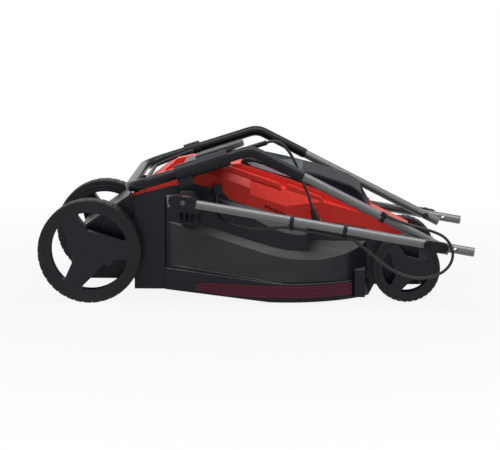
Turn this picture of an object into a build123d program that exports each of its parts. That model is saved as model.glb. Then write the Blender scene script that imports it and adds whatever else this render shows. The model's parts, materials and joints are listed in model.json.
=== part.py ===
from build123d import *
import math
import os

# A folded, battery powered rotary lawn mower.  Millimetres, +X towards the front, +Z up,
# -Y the mower's right.  Everything is drawn with X = 0 at the rear axle and moved at export,
# so that the origin is on the ground under the middle of the whole mower.

# ---------------------------------------------------------------- driving dimensions
WHEELBASE = 702.0
REAR_WHEEL_RADIUS = 115.0
REAR_WHEEL_WIDTH = 45.0
REAR_TRACK = 400.0                 # over the outer faces of the rear wheels
FRONT_WHEEL_RADIUS = 75.0
FRONT_WHEEL_WIDTH = 42.0
FRONT_TRACK = 330.0
REAR_TYRE_DEPTH = 19.0
FRONT_TYRE_DEPTH = 13.0
RIM_DEPTH = 8.0
SPOKE_THICKNESS = 5.0
HUB_RADIUS = 17.0
NUT_RADIUS = 10.0
NUT_LENGTH = 3.0
TREAD_BLOCKS = 36
TREAD_DEPTH = 2.0

AXLE_RADIUS = 6.0
CRANK_LENGTH = 45.8
CRANK_SWING = 72.0                 # degrees from the lowest to the highest cut
CRANK_PLATE = 5.0
LEVER_REACH = 150.0
LEVER_ANGLE = 62.0
KNOB_RADIUS = 10.0

DECK_WALL = 4.0
RING_RADIUS = 209.0                # outside of the blade housing
BLADE_TO_AXLE = 268.0              # from the blade's centre forward to the front axle
RING_CENTRE_X = WHEELBASE - BLADE_TO_AXLE
SKIRT_LIP = 5.0                    # how far the lower lip stands out
PILLAR_HALF_WIDTH = 148.0
REAR_HALF_WIDTH = 140.0
NOSE_HALF_WIDTH = 106.0
NOSE_REACH = 70.0                  # past the front axle
NOSE_X = WHEELBASE + NOSE_REACH
TAIL_X = -28.0
PILLAR_REAR_X = 96.0
PILLAR_FRONT_X = 165.0
CHAMBER_ROOF_Z = 100.0
DECK_BOTTOM_Z = 6.0
SHOULDER_FALL = -0.155             # towards the front
SHOULDER_LEAN = 0.5                # towards the sides
SHOULDER_TOP_Z = 177.0
CHUTE_HALF_WIDTH = 112.0

BLADE_RADIUS = 190.0
BLADE_WIDTH = 46.0
BLADE_THICKNESS = 3.0
BLADE_Z = 28.0
MOTOR_RADIUS = 56.0
MOTOR_HEIGHT = 62.0
MOTOR_WALL = 3.0
SHAFT_RADIUS = 7.0

HOOD_HALF_WIDTH = 148.0
HOOD_WALL = 3.0
LID_HALF_WIDTH = 104.0
LID_WALL = 3.0
LID_OPENING = 70.0                 # degrees
PACK_LENGTH = 118.0
PACK_WIDTH = 74.0
PACK_HEIGHT = 58.0
PACK_TRAVEL = 16.0

TUBE_RADIUS = 10.0
TUBE_WALL = 1.5
LOWER_TUBE_Y = 245.0
UPPER_TUBE_Y = 223.0
FOLD_REACH = 60.0                  # fold bolt, past the front axle
FOLD_X = WHEELBASE + FOLD_REACH
FOLD_Z = 140.0
MOUNT_X = 212.0
MOUNT_Z = 233.0
MOUNT_SCREW_X = (206.0, 226.0)
MOUNT_SCREW_Z = 238.0
LOWER_TUBE_TAIL = 85.0             # past the fold bolt
UPPER_TUBE_TAIL = 34.0
BEND_X = 359.0
BEND_Z = 345.0
BEND_RADIUS = 45.0
GRIP_X = 92.0
GRIP_Z = 260.0
GRIP_CORNER = 48.0
SLEEVE_RADIUS = 11.8
FORE_GRIP = 128.0                  # how far the soft sleeve runs down the stay from the bend
LOWER_FOLD = 135.6                 # degrees from folded to working position
UPPER_FOLD = 162.6
BAIL_RADIUS = 4.5
BAIL_Y = 196.0
BAIL_TRAVEL = 9.0
CORD_RADIUS = 3.2
BOLT_RADIUS = 4.0

RUNNING_FIT = 0.05                 # radial, shaft in bore
SKIN_GAP = 0.3                     # between skins of pieces that move
SEAT_GAP = 0.05                    # between curved faces that are fixed together

# ---------------------------------------------------------------- derived places
REAR_PIVOT = (CRANK_LENGTH * math.cos(math.radians(CRANK_SWING / 2)),
              REAR_WHEEL_RADIUS - CRANK_LENGTH * math.sin(math.radians(CRANK_SWING / 2)))
FRONT_PIVOT = (WHEELBASE + REAR_PIVOT[0],
               FRONT_WHEEL_RADIUS - CRANK_LENGTH * math.sin(math.radians(CRANK_SWING / 2)))
FOLD_SLOPE = math.degrees(math.atan2(FOLD_Z - MOUNT_Z, FOLD_X - MOUNT_X))
STAY_ANGLE = math.degrees(math.atan2(BEND_Z - FOLD_Z, BEND_X - FOLD_X))
GRIP_ANGLE = math.degrees(math.atan2(GRIP_Z - BEND_Z, GRIP_X - BEND_X))
FRONT_END_X = MOUNT_X + (math.hypot(FOLD_X - MOUNT_X, FOLD_Z - MOUNT_Z)
                         + LOWER_TUBE_TAIL) * math.cos(math.radians(FOLD_SLOPE))
FRONT_END_X += TUBE_RADIUS * abs(math.sin(math.radians(FOLD_SLOPE)))
MIDDLE_X = (FRONT_END_X - REAR_WHEEL_RADIUS) / 2


# ---------------------------------------------------------------- helpers
def fore(*points):
    """Points of a side view whose x is given from the front axle."""
    return [(WHEELBASE + x, z) for x, z in points]


def block(x0, x1, y0, y1, z0, z1):
    """A box between two corners."""
    box = Box(x1 - x0, y1 - y0, z1 - z0)
    return Pos((x0 + x1) / 2, (y0 + y1) / 2, (z0 + z1) / 2) * box


def cross(shape, y0):
    """Turns a solid drawn in (x, z) with its thickness up to run from y0 towards +Y."""
    return Pos(0, y0, 0) * Rot(90, 0, 0) * mirror(shape, about=Plane.XY)


def rod(x, z, radius, y0, y1):
    """A round bar along Y."""
    return Pos(x, (y0 + y1) / 2, z) * Rot(90, 0, 0) * Cylinder(radius, y1 - y0)


def post(x, y, radius, z0, z1):
    """A round bar along Z."""
    return Pos(x, y, (z0 + z1) / 2) * Cylinder(radius, z1 - z0)


def side_prism(points, y0, y1, corner=0.0):
    """An (x, z) outline run from y0 to y1."""
    face = make_face(Polyline(*points, close=True))
    if corner:
        face = fillet(face.vertices(), corner)
    return cross(extrude(face, amount=y1 - y0), y0)


def plan_prism(face, z0, z1):
    """An (x, y) outline run from z0 to z1."""
    return Pos(0, 0, z0) * extrude(face, amount=z1 - z0)


def link(x0, z0, x1, z1, radius, y0, y1):
    """A flat bar with round ends between two points."""
    length = math.hypot(x1 - x0, z1 - z0)
    angle = math.degrees(math.atan2(z1 - z0, x1 - x0))
    slot = Pos((x0 + x1) / 2, (z0 + z1) / 2) * SlotCenterToCenter(length, 2 * radius, angle)
    return cross(extrude(slot, amount=y1 - y0), y0)


def mirrored(shape):
    return mirror(shape, about=Plane.XZ)


def both(*shapes):
    """The right-hand pieces and their left-hand twins."""
    return [s for shape in shapes for s in (shape, mirrored(shape))]


def along(x, z, angle, distance, offset=0.0):
    """A point at a distance from (x, z) along an angle, offset to its left."""
    a = math.radians(angle)
    return (x + distance * math.cos(a) - offset * math.sin(a),
            z + distance * math.sin(a) + offset * math.cos(a))


def swept(path, radius, inner=0.0):
    """A round tube along a path."""
    plane = Plane(origin=path @ 0, z_dir=path % 0)
    section = plane * Circle(radius)
    tube = sweep(section, path=path)
    if inner:
        tube -= sweep(plane * Circle(inner), path=path)
    return tube


PARTS = {}


def keep(node, *shapes):
    """Files one or more solids under a node's name."""
    PARTS.setdefault(node, []).extend(shapes)


# ---------------------------------------------------------------- wheels
def spoke_gap(radius):
    """One of three openings between the spokes, in the plane of the wheel."""
    def polar(share, angle):
        return (radius * share * math.cos(math.radians(angle)),
                radius * share * math.sin(math.radians(angle)))

    arc = ThreePointArc(polar(1, 15), polar(1, 62), polar(1, 109))
    sides = Polyline(polar(1, 109), polar(0.53, 93), polar(1, 15))
    face = make_face(arc + sides)
    return fillet(face.vertices(), radius * 0.05)


def rim(radius, width, tyre_depth):
    """A wheel body lying on its outer face, from z = 0 inwards."""
    outer = radius - tyre_depth - SEAT_GAP
    gap_radius = outer - RIM_DEPTH
    openings = [Rot(0, 0, 120 * i) * spoke_gap(gap_radius - 1) for i in range(3)]
    frames = [Rot(0, 0, 120 * i) * offset(spoke_gap(gap_radius - 1), 2.5) for i in range(3)]
    hub = Circle(HUB_RADIUS) - Circle(AXLE_RADIUS + RUNNING_FIT)
    nut_room = Cylinder(NUT_RADIUS + SKIN_GAP, NUT_LENGTH + 1 + SKIN_GAP)
    body = extrude(Circle(outer) - Circle(gap_radius), amount=-width)
    body += extrude(Circle(outer - RIM_DEPTH / 2) - openings, amount=-SPOKE_THICKNESS)
    for frame, opening in zip(frames, openings):
        body += extrude(frame - opening, amount=-width * 0.6)
    body += extrude(hub, amount=-width)
    body -= Pos(0, 0, -SPOKE_THICKNESS - (NUT_LENGTH + 1 + SKIN_GAP) / 2) * nut_room
    return body


def tyre(radius, width, tyre_depth):
    """A ring with blocks cut round both shoulders."""
    ring = Cylinder(radius, width) - Cylinder(radius - tyre_depth, width)
    ring = chamfer(ring.edges().filter_by(GeomType.CIRCLE).sort_by(SortBy.RADIUS)[-2:], 2.5)
    groove = Pos(radius, 0, 0) * Box(2 * TREAD_DEPTH, 3, width / 4)
    cuts = []
    for i in range(TREAD_BLOCKS):
        for side in (-1, 1):
            turn = 360 * (i + side * 0.25) / TREAD_BLOCKS
            cuts.append(Rot(0, 0, turn) * Pos(0, 0, side * width * 3 / 8) * groove)
    return Pos(0, 0, -width / 2) * (ring - cuts)


def wheel_set(name, x, radius, width, track, tyre_depth):
    """Rim and tyre of the right and left wheel of one axle."""
    place = Pos(x, -track / 2, radius) * Rot(90, 0, 0)
    for piece, shape in (("rim", rim(radius, width, tyre_depth)),
                         ("tyre", tyre(radius, width, tyre_depth))):
        right = place * shape
        keep(f"{name}_{piece}_right", right)
        keep(f"{name}_{piece}_left", mirrored(right))


wheel_set("rear", 0, REAR_WHEEL_RADIUS, REAR_WHEEL_WIDTH, REAR_TRACK, REAR_TYRE_DEPTH)
wheel_set("front", WHEELBASE, FRONT_WHEEL_RADIUS, FRONT_WHEEL_WIDTH, FRONT_TRACK, FRONT_TYRE_DEPTH)


# ---------------------------------------------------------------- height adjusting axles
def axle(name, pivot, wheel_x, wheel_z, track, width):
    """A cranked cross axle, and the clips that hold its wheels."""
    inner_face = track / 2 - width
    plate_out = inner_face - 2 * SKIN_GAP
    plate_in = plate_out - CRANK_PLATE
    shaft = rod(*pivot, AXLE_RADIUS, -plate_out, plate_out)
    arm = link(*pivot, wheel_x, wheel_z, 2 * AXLE_RADIUS, -plate_out, -plate_in)
    stub_end = track / 2 - SPOKE_THICKNESS - 1
    stub = rod(wheel_x, wheel_z, AXLE_RADIUS, -stub_end, -plate_out)
    keep(f"{name}_axle", shaft + arm + mirrored(arm) + stub + mirrored(stub))
    nut = rod(wheel_x, wheel_z, NUT_RADIUS, -stub_end, -stub_end + NUT_LENGTH)
    nut -= rod(wheel_x, wheel_z, AXLE_RADIUS, -stub_end - 1, -plate_out)
    keep(f"{name}_wheel_nuts", *both(nut))


def height_lever():
    """The hand lever on the left of the rear axle, its knob, and the notched gate on the deck."""
    plate_out = REAR_TRACK / 2 - REAR_WHEEL_WIDTH - 2 * SKIN_GAP
    tip = along(*REAR_PIVOT, LEVER_ANGLE, LEVER_REACH)
    PARTS["rear_axle"][0] += link(*REAR_PIVOT, *tip, 0.9 * KNOB_RADIUS, plate_out - CRANK_PLATE, plate_out)
    grip = rod(*tip, KNOB_RADIUS, plate_out, plate_out + 2.6 * KNOB_RADIUS)
    keep("rear_lever_knob", fillet(grip.edges().filter_by(GeomType.CIRCLE), KNOB_RADIUS / 3))
    gate_radius = LEVER_REACH * 0.45
    band = Circle(gate_radius + 8) - Circle(gate_radius - 8)
    sides = [along(0, 0, a, 2 * LEVER_REACH) for a in (LEVER_ANGLE - 12, LEVER_ANGLE + CRANK_SWING + 8)]
    sector = band & make_face(Polyline((0, 0), *sides, close=True))
    for i in range(6):
        notch = along(0, 0, LEVER_ANGLE + CRANK_SWING * i / 5, gate_radius + 8)
        sector -= Pos(*notch) * Circle(4)
    place = Pos(REAR_PIVOT[0], REAR_HALF_WIDTH, REAR_PIVOT[1])
    keep("lever_gate", place * cross(extrude(sector, amount=1.6), 0))


axle("rear", REAR_PIVOT, 0, REAR_WHEEL_RADIUS, REAR_TRACK, REAR_WHEEL_WIDTH)
axle("front", FRONT_PIVOT, WHEELBASE, FRONT_WHEEL_RADIUS, FRONT_TRACK, FRONT_WHEEL_WIDTH)
height_lever()


# ---------------------------------------------------------------- deck
def ring_plan(grow=0.0):
    """The blade housing seen from above: a ring with straight flanks to the rear pillars."""
    radius = RING_RADIUS + grow
    corner = (PILLAR_FRONT_X, PILLAR_HALF_WIDTH + grow)
    reach = math.hypot(RING_CENTRE_X - corner[0], corner[1])
    touch = (math.pi + math.atan2(corner[1], RING_CENTRE_X - corner[0])
             + math.acos(radius / reach))
    left = (RING_CENTRE_X + radius * math.cos(touch), radius * math.sin(touch))
    front = (RING_CENTRE_X + radius, 0)
    middle = (RING_CENTRE_X + radius * math.cos(touch / 2 + math.pi),
              radius * math.sin(touch / 2 + math.pi))
    edge = Line((corner[0], 0), (corner[0], -corner[1]))
    edge += Line((corner[0], -corner[1]), left)
    edge += ThreePointArc(left, middle, front)
    edge += Line(front, (corner[0], 0))
    half = make_face(edge)
    return half + mirror(half, about=Plane.XZ)


def upper_plan(grow=0.0):
    """The motor and battery tub seen from above, with the rear cheeks and the nose."""
    half = [(TAIL_X - grow, REAR_HALF_WIDTH + grow),
            (PILLAR_REAR_X, REAR_HALF_WIDTH + grow),
            (PILLAR_REAR_X, PILLAR_HALF_WIDTH + grow),
            (RING_CENTRE_X, PILLAR_HALF_WIDTH + grow),
            (RING_CENTRE_X + 150, NOSE_HALF_WIDTH + 8 + grow),
            (WHEELBASE - FRONT_WHEEL_RADIUS - 2 * SKIN_GAP - 12, NOSE_HALF_WIDTH + grow),
            (NOSE_X - 40, NOSE_HALF_WIDTH + grow),
            (NOSE_X + grow, NOSE_HALF_WIDTH - 40)]
    return make_face(Polyline(*half, *[(x, -y) for x, y in reversed(half)], close=True))


REAR_EDGE = [(TAIL_X, 152), (88, 232)]
HOOD_SEAM = [(88, 232), (177, 256), (226, 262), (272, 251), (296, 241), (309, 226),
             *fore((-351, 212), (-303, 198), (-236, 184), (-142, 168), (-90, 158), (-76, 136),
                   (-34, 122), (12, 120), (NOSE_REACH, 112))]
SEAM_FRONT = HOOD_SEAM[-7:]        # from above the blade forward
CHUTE_FLOOR = [(232, 14), (TAIL_X - 5, 136)]
CHUTE_ROOF = [(250, CHAMBER_ROOF_Z - 2), (96, 206)]
TUB_FLOOR_Z = CHAMBER_ROOF_Z + DECK_WALL
LEDGE_STEP = 27.0                  # from the blade housing's outside in to the ledge's
LEDGE_START, LEDGE_END = (268.0, 233.0), (RING_CENTRE_X + 126, 158.0)
LEDGE_FRONT = 50.0                 # past the blade's centre


def roof_cut(drop=0.0):
    """The space over two planes that fall outwards and forwards from the pillars' top."""
    side = RING_RADIUS + 30
    crest = SHOULDER_TOP_Z + SHOULDER_LEAN * PILLAR_HALF_WIDTH - SHOULDER_FALL * PILLAR_FRONT_X - drop
    above = [(-side, crest - SHOULDER_LEAN * side), (0, crest), (0, crest + 300), (-side, crest + 300)]
    cut = extrude(Plane.YZ * make_face(Polyline(*above, close=True)), amount=1.1 * NOSE_X,
                  dir=(1, 0, SHOULDER_FALL))
    return [cut, mirrored(cut)]


def front_corner(y0, y1):
    """A square boss on the skirt just behind the front wheel."""
    return block(WHEELBASE - 114, WHEELBASE - 91, y0, y1, 9, 70)


def ledge(shrink=0.0):
    """Sloping shelves outside the hood's seam, on a smaller ring inside the blade housing's."""
    ring = plan_prism(ring_plan(-LEDGE_STEP - shrink), TUB_FLOOR_Z, 300)
    half = PILLAR_HALF_WIDTH + shrink / 4
    ring -= block(0, NOSE_X, -half, half, 0, 400)
    ring &= block(0, RING_CENTRE_X + LEDGE_FRONT - shrink, -RING_RADIUS, RING_RADIUS, 0, 400)
    x0, z0 = LEDGE_START
    fall = (LEDGE_END[1] - z0) / (LEDGE_END[0] - x0)
    edge = z0 - fall * x0 - 1.5 * shrink
    above = [(-PILLAR_HALF_WIDTH + 10, edge + 10), (-RING_RADIUS, edge - RING_RADIUS + PILLAR_HALF_WIDTH),
             (-RING_RADIUS, edge + 400), (-PILLAR_HALF_WIDTH + 10, edge + 400)]
    cut = extrude(Plane.YZ * make_face(Polyline(*above, close=True)), amount=NOSE_X, dir=(1, 0, fall))
    return ring - cut - mirrored(cut)


def deck():
    """The black moulded housing: blade chamber, rear chute, tub and axle cheeks."""
    ring = plan_prism(ring_plan(), 0, SHOULDER_TOP_Z)
    ring -= roof_cut()
    lip_line = [(0, 100), (PILLAR_FRONT_X, 72), (RING_CENTRE_X, 46), (NOSE_X, 46), (NOSE_X, -10), (0, -10)]
    lip = plan_prism(ring_plan(SKIRT_LIP), 0, SHOULDER_TOP_Z)
    lip &= side_prism(lip_line, -RING_RADIUS - 20, RING_RADIUS + 20)
    body = ring + lip + ledge()
    for y0 in (-PILLAR_HALF_WIDTH - 10, NOSE_HALF_WIDTH + 4):
        body += front_corner(y0, y0 + PILLAR_HALF_WIDTH + 6 - NOSE_HALF_WIDTH)
    tub_side = [*REAR_EDGE, *HOOD_SEAM[1:], (NOSE_X, 30), (0, 30), (TAIL_X, 46)]
    tub = plan_prism(upper_plan(), 0, 320)
    tub &= side_prism([*tub_side[:-2], (RING_CENTRE_X + 66, 0), (PILLAR_REAR_X, 0), (PILLAR_REAR_X, 46), (TAIL_X, 46)],
                      -PILLAR_HALF_WIDTH - 1, PILLAR_HALF_WIDTH + 1)
    body += tub
    under = [(TAIL_X - 10, -10), (TAIL_X - 10, 46), (PILLAR_REAR_X - 20, 46), (PILLAR_REAR_X, 24),
             (PILLAR_FRONT_X, 24), (RING_CENTRE_X - 34, DECK_BOTTOM_Z), (WHEELBASE - 82, DECK_BOTTOM_Z),
             (WHEELBASE - 70, 30), (NOSE_X + 10, 30), (NOSE_X + 10, -10)]
    body -= side_prism(under, -RING_RADIUS - 20, RING_RADIUS + 20)
    # blade chamber, rear chute and the room over and under it
    body -= plan_prism(ring_plan(-DECK_WALL), -10, CHAMBER_ROOF_Z) & block(
        PILLAR_FRONT_X + DECK_WALL, NOSE_X, -RING_RADIUS, RING_RADIUS, -10, CHAMBER_ROOF_Z)
    chute = [*CHUTE_FLOOR, (TAIL_X - 5, 180), (84, 250), (84, 214), *reversed(CHUTE_ROOF)]
    body -= side_prism(chute, -CHUTE_HALF_WIDTH, CHUTE_HALF_WIDTH)
    tub_room = [(262, TUB_FLOOR_Z), (118, 206), (118, 320), (NOSE_X - 60, 320), (NOSE_X - 60, 108),
                (RING_CENTRE_X + 166, TUB_FLOOR_Z)]
    inner = plan_prism(ring_plan(-DECK_WALL), TUB_FLOOR_Z, SHOULDER_TOP_Z - DECK_WALL)
    inner -= roof_cut(1.5 * DECK_WALL)
    inner += plan_prism(upper_plan(-DECK_WALL), TUB_FLOOR_Z, 320)
    inner += ledge(DECK_WALL)
    body -= inner & side_prism(tub_room, -RING_RADIUS, RING_RADIUS)
    below = [(TAIL_X + DECK_WALL, -10), (TAIL_X + DECK_WALL, 124), (226, 10), (226, -10)]
    body -= side_prism(below, -CHUTE_HALF_WIDTH, CHUTE_HALF_WIDTH) & block(
        TAIL_X, PILLAR_FRONT_X, -RING_RADIUS, RING_RADIUS, -10, 200)
    corridor = [(TAIL_X + DECK_WALL, -10), (TAIL_X + DECK_WALL, 146), (88, 216), (PILLAR_FRONT_X, 206),
                (PILLAR_FRONT_X, -10)]
    for y0 in (-REAR_HALF_WIDTH + DECK_WALL, CHUTE_HALF_WIDTH + DECK_WALL):
        body -= side_prism(corridor, y0, y0 + REAR_HALF_WIDTH - CHUTE_HALF_WIDTH - 2 * DECK_WALL)
    nose_start = RING_CENTRE_X + RING_RADIUS + DECK_WALL
    nose_room = [(nose_start, -10), (nose_start, 92), (NOSE_X - 60, 100), (NOSE_X - DECK_WALL - 2, 96),
                 (NOSE_X - DECK_WALL - 2, -10)]
    body -= plan_prism(upper_plan(-DECK_WALL), -10, 200) & side_prism(nose_room, -RING_RADIUS, RING_RADIUS)
    # lightening pockets beside the chute, flap lugs, and bores for axles, motor and screws
    pocket = [(PILLAR_FRONT_X + DECK_WALL, TUB_FLOOR_Z), (250, TUB_FLOOR_Z), (PILLAR_FRONT_X + DECK_WALL, 160)]
    for y0 in (-PILLAR_HALF_WIDTH + DECK_WALL, CHUTE_HALF_WIDTH + DECK_WALL):
        body -= side_prism(pocket, y0, y0 + PILLAR_HALF_WIDTH - CHUTE_HALF_WIDTH - 2 * DECK_WALL)
    body += [hinge_lug(y) for y in (-122, -48, 48, 122)]
    above = [*SEAM_FRONT, (NOSE_X + 10, SEAM_FRONT[-1][1]), (NOSE_X + 10, 400), (SEAM_FRONT[0][0], 400)]
    body -= side_prism(above, -RING_RADIUS, RING_RADIUS)
    for x in MOUNT_SCREW_X:
        body -= rod(x, MOUNT_SCREW_Z, SCREW_RADIUS + SEAT_GAP, -RING_RADIUS, RING_RADIUS)
    for pivot in (REAR_PIVOT, FRONT_PIVOT):
        body -= rod(*pivot, AXLE_RADIUS + RUNNING_FIT, -RING_RADIUS, RING_RADIUS)
    body -= post(RING_CENTRE_X, 0, BEARING_RADIUS, CHAMBER_ROOF_Z - 5, TUB_FLOOR_Z + 5)
    body -= [post(x, y, SCREW_RADIUS + SEAT_GAP, CHAMBER_ROOF_Z - 5, TUB_FLOOR_Z + 5) for x, y in motor_screw_places()]
    return body


# ---------------------------------------------------------------- comb strips and rear flap
def comb_strip():
    """A ribbed strip let on to the outside of the right skirt."""
    z0, z1 = 17, 43
    band = plan_prism(ring_plan(SKIRT_LIP + 3), z0, z1) - plan_prism(ring_plan(SKIRT_LIP + 0.1), z0 - 5, z1 + 5)
    front = WHEELBASE - 120
    window = [(232, z0 + 8), (300, z0), (front, z0), (front, z1), (250, z1), (232, z1 - 6)]
    band &= side_prism(window, -RING_RADIUS - 20, -NOSE_HALF_WIDTH)
    for i in range(5):
        z = z0 + (i + 1) * (z1 - z0) / 6
        band -= plan_prism(ring_plan(SKIRT_LIP + 5), z - 0.8, z + 0.8) - plan_prism(
            ring_plan(SKIRT_LIP + 1.6), z - 2, z + 2)
    return band


keep("comb_strips", *both(comb_strip()))

FLAP_HINGE = (92.0, 240.0)
FLAP_LENGTH = 151.0
FLAP_THICKNESS = 3.0
FLAP_PIN_RADIUS = 3.0
FLAP_HALF_WIDTH = 130.0
FLAP_ANGLE = 180 + math.degrees(math.atan2(REAR_EDGE[1][1] - REAR_EDGE[0][1],
                                           REAR_EDGE[1][0] - REAR_EDGE[0][0]))
FLAP_SEAT = 4.0                    # from the hinge line down to the underside


def flap_outline(*places):
    """Points given as (distance from the hinge, depth under the hinge line)."""
    return [along(*FLAP_HINGE, FLAP_ANGLE, d, depth) for d, depth in places]


def flap():
    """The spring loaded cover over the rear chute, with its three hinge barrels."""
    top = FLAP_SEAT - FLAP_THICKNESS
    plate = side_prism(flap_outline((12, top), (FLAP_LENGTH + 2, top), (FLAP_LENGTH + 11, 15),
                                    (FLAP_LENGTH + 8, 16), (FLAP_LENGTH, FLAP_SEAT), (12, FLAP_SEAT)),
                       -FLAP_HALF_WIDTH, FLAP_HALF_WIDTH)
    rib = side_prism(flap_outline((16, top + 1), (FLAP_LENGTH - 12, top + 1),
                                  (FLAP_LENGTH - 18, FLAP_SEAT + 4), (22, FLAP_SEAT + 4)), 0, 3)
    arm = side_prism(flap_outline((0, -1), (14, top), (14, FLAP_SEAT), (0, FLAP_SEAT)), -12, 12)
    plate += [Pos(0, y, 0) * rib for y in (-100, -60, -20, 20, 60, 97)]
    for y in (-96, 0, 96):
        plate += Pos(0, y, 0) * arm + rod(*FLAP_HINGE, FLAP_PIN_RADIUS + 3, y - 14, y + 14)
    return plate - rod(*FLAP_HINGE, FLAP_PIN_RADIUS + RUNNING_FIT, -FLAP_HALF_WIDTH, FLAP_HALF_WIDTH)


def hinge_lug(y):
    """One upright on the deck that carries the flap's pin."""
    lug = side_prism([(86, 200), (112, 205), (103, 246), (86, 246)], y - 4, y + 4)
    return lug - rod(*FLAP_HINGE, FLAP_PIN_RADIUS + SEAT_GAP, y - 9, y + 9)


keep("rear_flap", flap())
keep("hinge_pins", rod(*FLAP_HINGE, FLAP_PIN_RADIUS, -FLAP_HALF_WIDTH - 2, FLAP_HALF_WIDTH + 2))


# ---------------------------------------------------------------- motor and blade
MOTOR_SCREW_CIRCLE = 42.0
SCREW_RADIUS = 2.5
BEARING_RADIUS = 13.0


def motor_screw_places():
    """Four screws on a circle under the motor."""
    return [(RING_CENTRE_X + MOTOR_SCREW_CIRCLE * math.cos(math.radians(45 + 90 * i)),
             MOTOR_SCREW_CIRCLE * math.sin(math.radians(45 + 90 * i))) for i in range(4)]


def motor():
    top_z = TUB_FLOOR_Z + MOTOR_HEIGHT
    can = Pos(RING_CENTRE_X, 0, TUB_FLOOR_Z + MOTOR_HEIGHT / 2) * Cylinder(MOTOR_RADIUS, MOTOR_HEIGHT)
    can = fillet(can.edges().filter_by(GeomType.CIRCLE).sort_by(Axis.Z)[-1:], 6)
    can -= post(RING_CENTRE_X, 0, MOTOR_RADIUS - MOTOR_WALL, TUB_FLOOR_Z + MOTOR_WALL, top_z - MOTOR_WALL)
    for z in (TUB_FLOOR_Z, top_z):
        can -= post(RING_CENTRE_X, 0, BEARING_RADIUS, z - 2 * MOTOR_WALL, z + 2 * MOTOR_WALL)
    can -= [post(x, y, SCREW_RADIUS + SEAT_GAP, TUB_FLOOR_Z - 1, TUB_FLOOR_Z + 2 * MOTOR_WALL) for x, y in motor_screw_places()]
    slot = Pos(0.7 * MOTOR_RADIUS, 0, top_z) * Box(20, 5, 4 * MOTOR_WALL)
    can -= [Pos(RING_CENTRE_X, 0, 0) * Rot(0, 0, 60 * i) * slot for i in range(6)]
    keep("motor_can", can)
    stator = post(RING_CENTRE_X, 0, MOTOR_RADIUS - MOTOR_WALL - SEAT_GAP, TUB_FLOOR_Z + 14, top_z - 14)
    stator -= post(RING_CENTRE_X, 0, 30, TUB_FLOOR_Z, top_z)
    tooth_gap = Pos(37, 0, TUB_FLOOR_Z + MOTOR_HEIGHT / 2) * Box(22, 5, MOTOR_HEIGHT)
    stator -= [Pos(RING_CENTRE_X, 0, 0) * Rot(0, 0, 30 * i) * tooth_gap for i in range(12)]
    keep("motor_stator", stator)
    rotor = post(RING_CENTRE_X, 0, 29, TUB_FLOOR_Z + 14, top_z - 14)
    rotor -= post(RING_CENTRE_X, 0, SHAFT_RADIUS + SEAT_GAP, TUB_FLOOR_Z, top_z)
    keep("motor_rotor", rotor)
    keep("motor_shaft", post(RING_CENTRE_X, 0, SHAFT_RADIUS, BLADE_Z + BLADE_THICKNESS + 8, top_z + 4))
    for z in (TUB_FLOOR_Z - 2, top_z - 7):
        ring = post(RING_CENTRE_X, 0, BEARING_RADIUS - SEAT_GAP, z, z + 9) - post(
            RING_CENTRE_X, 0, SHAFT_RADIUS + RUNNING_FIT, z - 1, z + 10)
        keep("motor_bearings", ring)
    for x, y in motor_screw_places():
        keep("housing_screws", post(x, y, 2 * SCREW_RADIUS, CHAMBER_ROOF_Z - 4, CHAMBER_ROOF_Z)
             + post(x, y, SCREW_RADIUS, CHAMBER_ROOF_Z - 4, TUB_FLOOR_Z + MOTOR_WALL))


motor()


def blade():
    """A flat bar with sharpened edges and upturned sails at both tips."""
    length = 2 * BLADE_RADIUS
    bar = Box(length, BLADE_WIDTH, BLADE_THICKNESS)
    bar &= Cylinder(BLADE_RADIUS, 2 * BLADE_THICKNESS)
    for turn in (0, 180):
        edge = Pos(BLADE_RADIUS - 45, -BLADE_WIDTH / 2, BLADE_THICKNESS / 2) * Rot(20, 0, 0) * Box(92, 12, 3)
        bar -= Rot(0, 0, turn) * edge
        sail = Pos(BLADE_RADIUS - 44, BLADE_WIDTH / 2 - 9, 6.5) * Rot(35, 0, 0) * Box(70, 20, BLADE_THICKNESS)
        bar += Rot(0, 0, turn) * sail & Cylinder(BLADE_RADIUS, 60)
    bar -= Cylinder(SHAFT_RADIUS + 0.5, 20)
    return Pos(RING_CENTRE_X, 0, BLADE_Z) * bar


keep("blade", blade())
hub = post(RING_CENTRE_X, 0, 26, BLADE_Z + BLADE_THICKNESS / 2, BLADE_Z + 10)
hub += post(RING_CENTRE_X, 0, 15, BLADE_Z + 10, CHAMBER_ROOF_Z - 10)
hub += [Pos(RING_CENTRE_X, 0, BLADE_Z + 26) * Rot(0, 0, 60 * i) * Pos(26, 0, 0) * Box(30, 2.5, 26) for i in range(6)]
hub -= post(RING_CENTRE_X, 0, SHAFT_RADIUS + SEAT_GAP, BLADE_Z - 10, CHAMBER_ROOF_Z + 10)
keep("blade_fan_hub", hub)
bolt = post(RING_CENTRE_X, 0, 10, BLADE_Z - BLADE_THICKNESS / 2 - 9, BLADE_Z - BLADE_THICKNESS / 2 - 3)
bolt += post(RING_CENTRE_X, 0, 17, BLADE_Z - BLADE_THICKNESS / 2 - 3, BLADE_Z - BLADE_THICKNESS / 2)
bolt += post(RING_CENTRE_X, 0, SHAFT_RADIUS - 1, BLADE_Z - 9, BLADE_Z + BLADE_THICKNESS + 8)
keep("motor_shaft", bolt)


keep("deck_housing", deck())


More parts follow.
